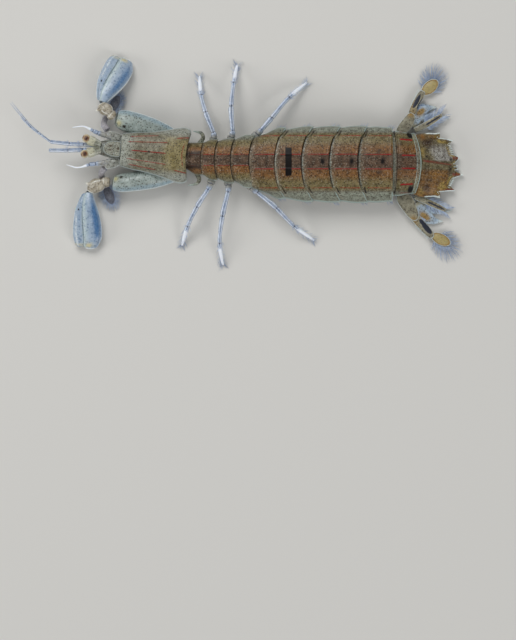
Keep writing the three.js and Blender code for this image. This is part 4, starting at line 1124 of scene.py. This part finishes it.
class SHRIMP_OT_legs(Operator):
    """Make the three pairs of walking legs and the brushes at their ends"""

    bl_idname = "shrimp.legs"
    bl_label = "Walking legs"

    def execute(self, context):
        thick = setting_mm(context, "hair_thickness")
        sets = []
        rng = np.random.default_rng(11)

        def leg_marks(t, u, s):
            joints = np.max([ridge(t, joint, 0.009) for joint in LEG_JOINTS], axis=0)
            shins = ramp(t, 0.16, 0.28)
            return {
                "gold": 0.95 * (1 - shins),
                # The white lines down both sides of each shin are painted highlights; the white from 0.76 on
                # is the leg's own pale end.
                "edge": most(0.6 * ridge(np.abs(u), 0.6, 0.25) * shins * ramp(s, -0.2, 0.2),
                             0.85 * ramp(t, 0.76, 0.84)),
                "joint": 0.85 * joints,
                "dark": 0.5 * ridge(u, -0.1, 0.35) * ramp(s, 0, 0.4) * shins * fade(t, 0.62, 0.74),
            }

        for name, plan in LEGS.items():
            points = np.array([(x, y, z) for (x, y), z in zip(plan, LEG_HEIGHTS)])
            finished(limb(
                f"leg_limb_{name}", points, (0.62, 0.6, 0.42, 0.34, 0.38, 0.36, 0.3, 0.32, 0.28, 0.16),
                (0.55, 0.55, 0.46, 0.38, 0.42, 0.4, 0.34, 0.34, 0.26, 0.16), sides=32, rows=160,
                joints=LEG_JOINTS, blunt=0.02, marks=leg_marks,
            ), "limb", "limb", f"leg_{name}")
            share = rng.uniform(0.74, 1.0, LEG_HAIRS)
            base = eased(points, share)
            ahead = unit(eased(points, share + 0.01) - eased(points, share - 0.01))
            across = unit(np.cross(UP, ahead))
            spin = rng.uniform(-0.5, math.pi + 0.5, LEG_HAIRS)
            out = across * np.cos(spin)[:, None] + UP * (np.abs(np.sin(spin)) * 0.4)[:, None]
            reach = rng.uniform(0.4, 1.1, LEG_HAIRS) * (0.4 + share * 0.6)
            tip = base + out * 0.3 + (out * 0.6 + ahead * 0.9) * reach[:, None]
            tip[:, 2] = most(tip[:, 2], 0.05)
            sets.append((base + out * 0.16, tip,
                         strip(share, spin / (2 * math.pi) + 0.2, len(sets), len(LEGS))))
        finished(hair("leg_brushes", sets, thick * 1.1, seed=12), "hair", "limb")
        return {"FINISHED"}


LEAF_HAIRS = 110
FLAP_HAIRS = 30


class SHRIMP_OT_swimming_legs(Operator):
    """Make the five pairs of swimming leaves under the abdomen and their fringes"""

    bl_idname = "shrimp.swimming_legs"
    bl_label = "Swimming legs"

    def execute(self, context):
        thick = setting_mm(context, "hair_thickness")
        rng = np.random.default_rng(21)
        sets = []
        for i, (start, end, middle, half, *_) in enumerate(ABDOMEN[:5]):
            for side, sign in SIDES:
                tip_x = end + 0.35
                points = np.array([
                    (start + 0.5, middle + sign * half[0] * 0.5, 1.45),
                    (start + 1.6, middle + sign * half[0] * 0.5, 1.25),
                    ((start + tip_x) / 2 + 0.7, middle + sign * half[0] * 0.44, 0.85),
                    (tip_x, middle + sign * half[0] * 0.36, 0.42),
                ])
                wide = np.array((0.2, 0.34, 0.36, 0.16)) * half[0]
                finished(limb(
                    f"swimming_leg_{i + 1}_{side}", points, wide, (0.2, 0.16, 0.12, 0.08), sides=48, rows=60,
                    blunt=0.1, marks=lambda t, u, s: {"edge": 0.9 * ramp(np.abs(u), 0.75, 0.95),
                                                      "dark": 0.35 * ridge(u, 0, 0.12)},
                ), "leaf", "leaf", f"pleopod_{i + 1}_{side}")
                share = rng.uniform(0.35, 1.0, LEAF_HAIRS)
                base = eased(points, share)
                out = np.where(rng.uniform(size=LEAF_HAIRS) < 0.5, -1.0, 1.0)
                edge = base + np.stack((0 * out, out * eased(wide, share) * 0.92, 0 * out), -1)
                tip = edge + np.stack((rng.uniform(0.4, 0.8, LEAF_HAIRS), out * 0.25, -0.1 + 0 * out), -1)
                sets.append((edge, tip, strip(share, 0.25 + 0.5 * (out > 0), len(sets), 20)))
                # A few hairs of the leaves show past the side flaps.
                flap_x = start + (end - start) * 0.9 + (1.2 if i < 4 else 0.2)
                along = rng.uniform(-0.8, 0.3, FLAP_HAIRS) + flap_x
                flap_y = middle + sign * half[1] * 0.9
                root = np.stack((along, 0 * along + flap_y, 0 * along + 1.9), -1)
                tip = np.stack((along + rng.uniform(0.3, 1.0, FLAP_HAIRS),
                                flap_y + sign * rng.uniform(0.5, 1.15, FLAP_HAIRS), 0 * along + 1.8), -1)
                sets.append((root, tip, strip(rng.uniform(size=FLAP_HAIRS), 0.5, len(sets), 20)))
        finished(hair("swimming_leg_fringes", sets, thick * 0.8, seed=22), "hair", "leaf")
        return {"FINISHED"}


# The tail fan

TELSON_FRONT = np.array((26.75, -0.6, 2.37))
TELSON_TILT = math.radians(17.5)


def denticles(start, end, count, depth):
    """A row of blunt teeth from one point of the margin to the next."""
    row = []
    for i in range(count):
        for k, push in ((0.1, 0.0), (0.3, depth * 0.8), (0.5, depth), (0.7, depth * 0.8), (0.9, 0.0)):
            share = (i + k) / count
            row.append((start[0] + (end[0] - start[0]) * share + push,
                        start[1] + (end[1] - start[1]) * share))
    return row


# From the right front corner round to the left one: lateral tooth, intermediate tooth, denticles,
# submedian tooth, the denticles between the two, and back. The two sides differ, as in life.
TELSON_MARGIN = [
    (-0.6, 1.5), (-0.6, 4.2), (0.0, 4.5), (1.5, 4.7), (2.5, 4.66), (3.45, 4.78), (2.75, 4.05), (3.4, 3.95),
    (4.4, 3.85), (5.55, 3.66), (4.5, 3.0), *denticles((4.5, 2.95), (5.0, 1.6), 4, 0.72), (5.3, 1.5),
    (6.1, 1.4), (6.5, 1.1), (6.4, 0.65), (5.85, 0.25), (5.5, 0.1),
    *denticles((5.5, 0.1), (5.8, -0.9), 2, 0.85), (6.0, -1.0), (7.2, -1.57), (5.9, -2.0), (5.4, -2.2),
    *denticles((5.2, -2.25), (4.6, -3.35), 4, 0.72), (4.7, -3.45), (5.85, -3.98), (4.6, -4.05),
    (3.7, -4.15), (2.85, -4.2), (3.55, -5.05), (2.5, -4.85), (1.3, -4.95), (0.1, -4.85), (-0.6, -4.5),
    (-0.6, -1.5),
]


# The tail plate's patches: strength, x, half length, y, half width.
TELSON_BROWN = (
    (1, 1.2, 1.1, 3.2, 0.9), (0.9, 1.0, 0.8, -3.5, 0.9), (0.8, 0.9, 0.6, -1.2, 0.7),
    (0.6, 2.9, 0.5, -2.4, 0.6), (0.62, 1.2, 0.9, -2.3, 0.8), (0.7, 4.6, 0.6, -1.2, 0.5),
    (0.6, 4.6, 0.5, 3.6, 0.4),
)
TELSON_AMBER = ((0.9, 0.5, 0.6, 4.0, 0.6), (0.8, 2.8, 1.2, -3.0, 1.0))
TELSON_YELLOW = ((0.8, 3.6, 0.7, -3.2, 0.7), (0.6, 0.3, 0.5, 1.8, 1.2), (0.6, 0.4, 0.5, -4.0, 0.8))


class SHRIMP_OT_telson(Operator):
    """Make the tail plate with its toothed margin"""

    bl_idname = "shrimp.telson"
    bl_label = "Tail plate"

    def execute(self, context):
        def top(x, y, share):
            dome = np.sqrt(np.clip(1 - ((x - 1.8) / 4.2) ** 2 - (y / 4.85) ** 2, 0, 1))
            # Curved rows of pits, 0.62 mm apart and 0.45 mm from pit to pit.
            rows = 0.5 + 0.5 * np.cos((np.abs(y) - 0.55 - 0.1 * x) * 2 * math.pi / 0.62)
            pits = rows * (0.5 + 0.5 * np.cos(x * 2 * math.pi / 0.45))
            pits = pits * ramp(np.abs(y), 0.4, 0.8) * fade(share, 0.7, 0.85)
            median = ridge(y, 0.5 - 0.12 * x, 0.14) * band(x, 0.6, 1.2, 4.8, 5.5)
            rim = ridge(share, 0.93, 0.04) * ramp(x, 1.0, 2.0)
            teeth = (ridge(y, np.where(y > 0, 0.95, -1.5), 0.34) * ramp(x, 4.2, 5.4)
                     + ridge(np.abs(y), np.where(y > 0, 3.65, 3.95), 0.25) * ramp(x, 3.2, 4.4)
                     + ridge(np.abs(y), 4.6, 0.2) * ramp(x, 2.0, 2.8))
            return 0.22 + 1.4 * dome + 0.36 * median - 0.09 * pits + 0.08 * rim + 0.3 * teeth

        def placed(points):
            c, s = math.cos(TELSON_TILT), math.sin(TELSON_TILT)
            x, y, z = points[:, 0], points[:, 1], points[:, 2]
            return np.stack((x * c + z * s, y, -x * s + z * c), -1) + TELSON_FRONT

        def patches(x, y, places):
            """Soft patches of colour, each (strength, x, half length, y, half width)."""
            return most(*(a * ridge(x, px, long) * ridge(y, py, wide) for a, px, long, py, wide in places))

        def marks(x, y, share, upper):
            off = np.abs(y)
            right_side = ramp(y, 0.2, 0.7)
            left_side = fade(y, -1.2, -0.5)
            brown = patches(x, y, TELSON_BROWN)
            amber = most(0.72 * left_side * fade(x, 4.2, 5.0), 0.5 * ridge(off, 4.1, 0.5) * fade(x, 4.4, 5.0),
                         patches(x, y, TELSON_AMBER))
            yellow = most(0.8 * ridge(share, 0.86, 0.06) * ramp(x, 2.0, 3.0), patches(x, y, TELSON_YELLOW))
            tooth_y = np.where(y > 0, 0.95, 1.5)
            tooth = most(ridge(off, tooth_y, 0.32) * ramp(x, 4.8, 5.4),
                         ridge(off, 3.8, 0.26) * ramp(x, 3.8, 4.3))
            white_rim = ramp(share, 0.955, 0.98) * ramp(x, 0.6, 1.6)
            between = (1 - ridge(off, tooth_y, 0.5)) * (1 - ridge(off, 3.8, 0.35))
            denticle = ramp(share, 0.92, 0.95) * ramp(x, 4.6, 4.9) * between
            median = 0.6 * ridge(y, 0.5 - 0.12 * x, 0.3 - 0.03 * x) * band(x, -0.3, 0.8, 4.6, 5.2)
            grey = fade(y, 1.8, 3.6) * ramp(x + 0.5 * y, 1.6, 3.4) * fade(x, 4.8, 5.4)
            return {
                "olive": 0.95 * brown * upper,
                "flank": amber * upper,
                "gold": yellow * upper,
                "front": 0.9 * right_side * grey,
                "red": most(median, 0.62 * tooth) * upper,
                "dark": most(0.7 * ridge(x, 4.9, 0.3) * ridge(off, 0.7, 0.25),
                             0.7 * ridge(x, 0.9, 0.3) * ridge(y, 1.1, 0.3)) * upper,
                "edge": most(white_rim, denticle, ramp(x, 6.45, 6.9),
                             0.8 * ridge(x, 3.3, 0.12) * ridge(off, 4.8, 0.2)),
                "belly": np.where(upper, 0.0, 0.8),
            }

        finished(plate(
            "telson_plate", TELSON_MARGIN, (2.4, 0.0), top, lambda x, y, share: 0 * x - 0.22,
            sides=768, rows=110, place_point=placed, marks=marks,
        ), "tail", "tail", "telson")
        return {"FINISHED"}


# For each side: outlines seen from above, limbs as points, half widths, clear panes (middle, half length,
# half width, turn in degrees), and the direction and reach of the oval's hairs.
FANS = {
    "right": {
        "arm": [(23.3, 4.5), (25.1, 6.8), (25.8, 7.3), (26.5, 6.8), (26.4, 5.9), (25.7, 4.5), (24.2, 3.5)],
        "blade": [(25.0, 6.6), (27.1, 10.75), (27.95, 10.4), (28.0, 9.8), (26.95, 8.3), (26.55, 6.7)],
        "panes": (((26.7, 8.9), 1.15, 0.3, 62), ((27.15, 8.55), 0.95, 0.16, 60)),
        "lobe": [(25.9, 5.0, 1.1), (26.9, 7.1, 0.75), (28.3, 7.9, 0.5), (29.75, 8.0, 0.35)],
        "spine": [(26.2, 5.2, 0.95), (28.2, 6.6, 0.5), (29.8, 6.9, 0.3), (31.7, 6.35, 0.2)],
        "oval": ((28.7, 11.05), 1.42, 0.84, math.radians(42)),
        "fan": (math.radians(66), 2.9, 1.2),
        "inner": [(26.35, 4.5, 1.6), (27.6, 5.1, 1.4), (29.0, 5.9, 1.2), (30.5, 6.85, 1.0)],
        "inner_hair": (1.55, 1.25),
    },
    "left": {
        "arm": [(23.3, -5.75), (25.25, -8.45), (26.3, -9.2), (27.05, -8.8), (26.95, -7.8), (26.1, -5.3),
                (24.2, -4.4)],
        "blade": [(25.1, -8.2), (28.5, -11.75), (29.2, -11.7), (29.4, -10.9), (27.6, -8.9), (26.95, -8.1)],
        "panes": (((28.2, -10.15), 1.15, 0.42, -50), ((27.5, -9.3), 0.6, 0.3, -50)),
        "lobe": [(26.4, -6.4, 1.1), (27.6, -8.0, 0.75), (29.2, -9.0, 0.5), (30.7, -9.1, 0.35)],
        "spine": [(26.8, -6.0, 0.95), (28.8, -7.5, 0.5), (30.4, -7.8, 0.3), (32.15, -7.4, 0.2)],
        "oval": ((30.35, -11.85), 1.48, 0.76, math.radians(-27)),
        "fan": (math.radians(-48), 2.9, 1.5),
        "inner": [(26.4, -5.5, 1.6), (27.8, -6.0, 1.4), (29.4, -6.7, 1.2), (31.1, -7.5, 1.0)],
        "inner_hair": (1.2, 1.3),
    },
}


INNER_HAIRS = 46
RIM_HAIRS = 34


def flat_blade(name, corners, heights, marks):
    """A flat blade with a rounded outline. heights gives z at the body and how it falls with x."""
    outline = rounded(corners)
    middle = outline.mean(axis=0)
    level, fall = heights

    def top(x, y, share):
        return level - fall * (x - middle[0]) + 0.14 * (1 - share**2) + 0.05 * ridge(share, 0.94, 0.04)

    def bottom(x, y, share):
        return top(x, y, share) - 0.35

    return plate(name, outline, middle, top, bottom, rows=48, marks=marks)


class SHRIMP_OT_tail_fan(Operator):
    """Make the tail fan's arms, spines, blades and hair fringes"""

    bl_idname = "shrimp.tail_fan"
    bl_label = "Tail fan"

    def execute(self, context):
        thick = setting_mm(context, "hair_thickness")
        for side, sign in SIDES:
            plan = FANS[side]
            arm_end = np.mean(plan["arm"][1:4], axis=0)
            arm = flat_blade(f"fan_arm_{side}", plan["arm"], (1.75, 0.22), lambda x, y, share, upper: {
                "flank": 0.9 * ridge(np.hypot(x - arm_end[0], y - arm_end[1]), 0, 0.6),
                "edge": 0.85 * ramp(share, 0.95, 0.98),
                "dark": 0.6 * ridge(share, 0.86, 0.05) * ramp(x, 26.2, 26.8),
            })
            lobe = limb(
                f"fan_lobe_{side}", plan["lobe"], (0.6, 1.1, 0.95, 0.42, 0.08), (0.3, 0.26, 0.22, 0.16, 0.08),
                sides=48, rows=70, blunt=0.06, marks=lambda t, u, s: {
                    "flank": 1.5 * ridge(t, 0.42, 0.16) * ridge(u, -0.1, 0.5), "blue": ramp(t, 0.05, 0.2),
                    "edge": 0.7 * most(ramp(t, 0.7, 0.9), ramp(np.abs(u), 0.88, 0.98))})
            spine = limb(
                f"fan_spine_{side}", plan["spine"], (0.5, 0.42, 0.28, 0.16, 0.05),
                (0.34, 0.3, 0.22, 0.14, 0.05),
                sides=32, marks=lambda t, u, s: {"blue": ramp(t, 0.1, 0.3), "edge": ramp(t, 0.45, 0.7)})
            finished(joined(f"fan_base_{side}", arm, lobe, spine), "fan", "fin", f"uropod_base_{side}")

            def pane_marks(x, y, share, upper):
                clear = 0 * x
                for (px, py), half_length, half_width, turn in plan["panes"]:
                    c, s = math.cos(math.radians(turn)), math.sin(math.radians(turn))
                    a, b = (x - px) * c + (y - py) * s, -(x - px) * s + (y - py) * c
                    clear = most(clear, fade((a / half_length) ** 2 + (b / half_width) ** 2, 0.75, 1.15))
                return {"window": clear, "edge": 0.85 * ramp(share, 0.94, 0.97),
                        "flank": 0.6 * ridge(x, arm_end[0] + 0.3, 0.5)}

            pane = flat_blade(f"fan_pane_{side}", plan["blade"], (1.2, 0.16), pane_marks)
            outer_side = np.array(plan["blade"][:2])
            ahead = unit(outer_side[1] - outer_side[0])
            spikes = []
            for k in range(6):
                foot = outer_side[0] + (outer_side[1] - outer_side[0]) * (0.42 + 0.1 * k)
                root = np.array((*foot, 1.15 - 0.03 * k))
                out = np.array((-ahead[1], ahead[0])) * sign
                step = np.array((*(ahead * 0.3 + out * 0.14), 0))
                spikes.append(limb(f"fan_spike_{side}_{k}", [root, root + step * 0.6, root + step * 1.3],
                                   (0.09, 0.07, 0.02), sides=8, rows=12,
                                   marks=lambda t, u, s: {"edge": 1 + 0 * t}))
            finished(joined(f"fan_outer_blade_{side}", pane, *spikes), "fan", "fin", f"uropod_exopod_{side}")

            middle, half_length, half_width, turn = plan["oval"]
            finished(plate(
                f"fan_oval_{side}", oval(middle, half_length * 1.1, half_width * 1.12, turn), middle,
                lambda x, y, share: 0.85 + 0.16 * (1 - share**2) + 0.05 * ridge(share, 0.9, 0.05),
                lambda x, y, share: 0.5 + 0 * x, sides=96, rows=40,
                marks=lambda x, y, share, upper: {
                    "gold": 0.5 * fade(share, 0.7, 0.86), "flank": 0.5 + 0.5 * ridge(share, 0.84, 0.1),
                    "edge": 0.9 * ramp(share, 0.92, 0.96)},
            ), "fan", "fin", f"uropod_exopod_tip_{side}")

            inner = np.array(plan["inner"])
            finished(limb(
                f"fan_inner_blade_{side}", inner, (0.4, 0.45, 0.46, 0.42, 0.24),
                (0.24, 0.22, 0.18, 0.14, 0.1), sides=56,
                rows=90, blunt=0.04, marks=lambda t, u, s: {
                    "window": ridge(u, 0.0, 0.34) * band(t, 0.4, 0.5, 0.9, 0.96),
                    "flank": 0.5 * ridge(np.abs(u), 0.5, 0.14) * ramp(t, 0.4, 0.5),
                    "edge": 0.8 * ramp(np.abs(u), 0.82, 0.94)},
            ), "fan", "fin", f"uropod_endopod_{side}")

            turn, reach_tip, reach_side = plan["fan"]
            sets = [fan_hairs(middle, half_length, half_width, turn, reach_tip * k, reach_side * k,
                              0.7, count, spread=2.0, seed=31 + j, tip_z=0.25, ahead=0.9)
                    for j, (k, count) in enumerate(((1.0, 46), (0.8, 30), (0.45, 40)))]
            rng = np.random.default_rng(41)
            for j, (out_sign, reach) in enumerate(zip((sign, -sign), plan["inner_hair"])):
                share = np.linspace(0.42, 1.0, INNER_HAIRS) + rng.normal(0, 0.006, INNER_HAIRS)
                base = eased(inner, share)
                ahead = unit(eased(inner, share + 0.01) - eased(inner, share - 0.01))
                out = np.stack((-ahead[:, 1], ahead[:, 0], 0 * share), -1) * out_sign
                rim = base + out * 0.32
                long = reach * rng.uniform(0.75, 1.05, INNER_HAIRS)[:, None] * (0.8 + 0.45 * share[:, None])
                way = unit(out * (1.2 - 0.75 * share[:, None]) + ahead * (0.35 + 0.7 * share[:, None]))
                ends = rim + way * long
                ends[:, 2] = most(base[:, 2] - 0.25, 0.1)
                sets.append((rim, ends, strip(share, 0.3 * j, 0, 1)))
            # Hairs along the outer blade's inner edge.
            edge = np.array(plan["blade"])[-2:]
            share = rng.uniform(0, 1, RIM_HAIRS)
            root = np.column_stack((edge[0] + (edge[1] - edge[0]) * share[:, None], np.full(34, 0.95)))
            reach = rng.uniform(0.8, 1.5, RIM_HAIRS)
            step = np.column_stack((reach, sign * rng.uniform(-0.1, 0.35, RIM_HAIRS), -0.35 + 0 * share))
            sets.append((root, root + step, strip(share, 0.9, 0, 1)))
            finished(hair(f"fan_fringe_{side}", sets, thick * 1.5, seed=51), "hair", "fin")
        return {"FINISHED"}


class SHRIMP_OT_stage(Operator):
    """Make the pale floor, the soft lights and the camera, which looks straight down"""

    bl_idname = "shrimp.stage"
    bl_label = "Floor, light and camera"

    def execute(self, context):
        settings = context.scene.shrimp
        bpy.ops.object.select_all(action="DESELECT")
        bpy.ops.mesh.primitive_plane_add(size=3, location=(0, 0, -0.02 * MM))
        floor = context.object
        floor.name = "floor"
        material = bpy.data.materials.new("matt_board")
        material.use_nodes = True
        tree = material.node_tree
        tree.nodes.clear()
        # Matt board: even, pale and without shine.
        surface = add(tree, "ShaderNodeBsdfPrincipled",
                      {"Base Color": (*settings.floor_colour, 1), "Roughness": 0.9})
        add(tree, "ShaderNodeOutputMaterial", {"Surface": surface.outputs[0]})
        floor.data.materials.append(material)
        for name, place, size, power in (
            ("key", (-0.12, 0.26, 0.36), 0.26, 1.1),
            ("fill", (0.26, -0.3, 0.3), 0.3, 0.8),
            ("front", (-0.4, -0.1, 0.2), 0.2, 0.55),
        ):
            data = bpy.data.lights.new(name, "AREA")
            data.size = size
            data.energy = power
            light = bpy.data.objects.new(name, data)
            context.collection.objects.link(light)
            light.location = place
            away = np.array(place) / np.linalg.norm(place)
            light.rotation_euler = (math.acos(away[2]), 0, math.atan2(away[1], away[0]) + math.pi / 2)
        world = bpy.data.worlds.new("studio")
        world.use_nodes = True
        world.node_tree.nodes["Background"].inputs[0].default_value = (0.9, 0.93, 1.0, 1)
        world.node_tree.nodes["Background"].inputs[1].default_value = settings.sky
        context.scene.world = world
        context.scene.view_settings.view_transform = "Standard"
        data = bpy.data.cameras.new("camera")
        data.sensor_width = 36
        data.lens = settings.lens
        data.clip_start = 0.05
        data.clip_end = 10
        camera = bpy.data.objects.new("camera", data)
        context.collection.objects.link(camera)
        camera.location = (2.976 * MM, -23.85 * MM, 0.603)
        context.scene.camera = camera
        return {"FINISHED"}


class ShrimpSettings(PropertyGroup):
    """What a user would change"""

    keel_height: FloatProperty(name="Keel height", description="Height of the red keels on the back",
                               default=0.14 * MM, unit="LENGTH", precision=5)
    hair_thickness: FloatProperty(name="Hair thickness", description="Radius of a fringe hair at its root",
                                  default=0.028 * MM, unit="LENGTH", precision=6)
    floor_colour: FloatVectorProperty(name="Floor", description="Colour of the board under the animal",
                                      default=linear("#d2d0ca"), size=3, subtype="COLOR")
    sky: FloatProperty(name="Sky", description="Strength of the even light from all round", default=0.28)
    lens: FloatProperty(name="Lens", description="Focal length of the camera, in millimetres", default=225.0)


OPERATORS = (
    SHRIMP_OT_stage,
    SHRIMP_OT_shield,
    SHRIMP_OT_eyes,
    SHRIMP_OT_feelers,
    SHRIMP_OT_feeler_scales,
    SHRIMP_OT_claws,
    SHRIMP_OT_mouth_limbs,
    SHRIMP_OT_thorax,
    SHRIMP_OT_abdomen,
    SHRIMP_OT_legs,
    SHRIMP_OT_swimming_legs,
    SHRIMP_OT_telson,
    SHRIMP_OT_tail_fan,
)


class SHRIMP_PT_panel(Panel):
    """Lists the steps that build the animal"""

    bl_label = "Mantis shrimp"
    bl_idname = "SHRIMP_PT_panel"
    bl_space_type = "VIEW_3D"
    bl_region_type = "UI"
    bl_category = "Shrimp"

    def draw(self, context):
        for name in ("keel_height", "hair_thickness", "floor_colour", "sky", "lens"):
            self.layout.prop(context.scene.shrimp, name)
        for operator in OPERATORS:
            self.layout.operator(operator.bl_idname)


CLASSES = (ShrimpSettings, *OPERATORS, SHRIMP_PT_panel)


def register():
    for item in CLASSES:
        bpy.utils.register_class(item)
    bpy.types.Scene.shrimp = PointerProperty(type=ShrimpSettings)


def unregister():
    del bpy.types.Scene.shrimp
    for item in reversed(CLASSES):
        bpy.utils.unregister_class(item)


def main():
    register()
    for operator in OPERATORS:
        group, step = operator.bl_idname.split(".")
        getattr(getattr(bpy.ops, group), step)()


if __name__ == "__main__":
    main()
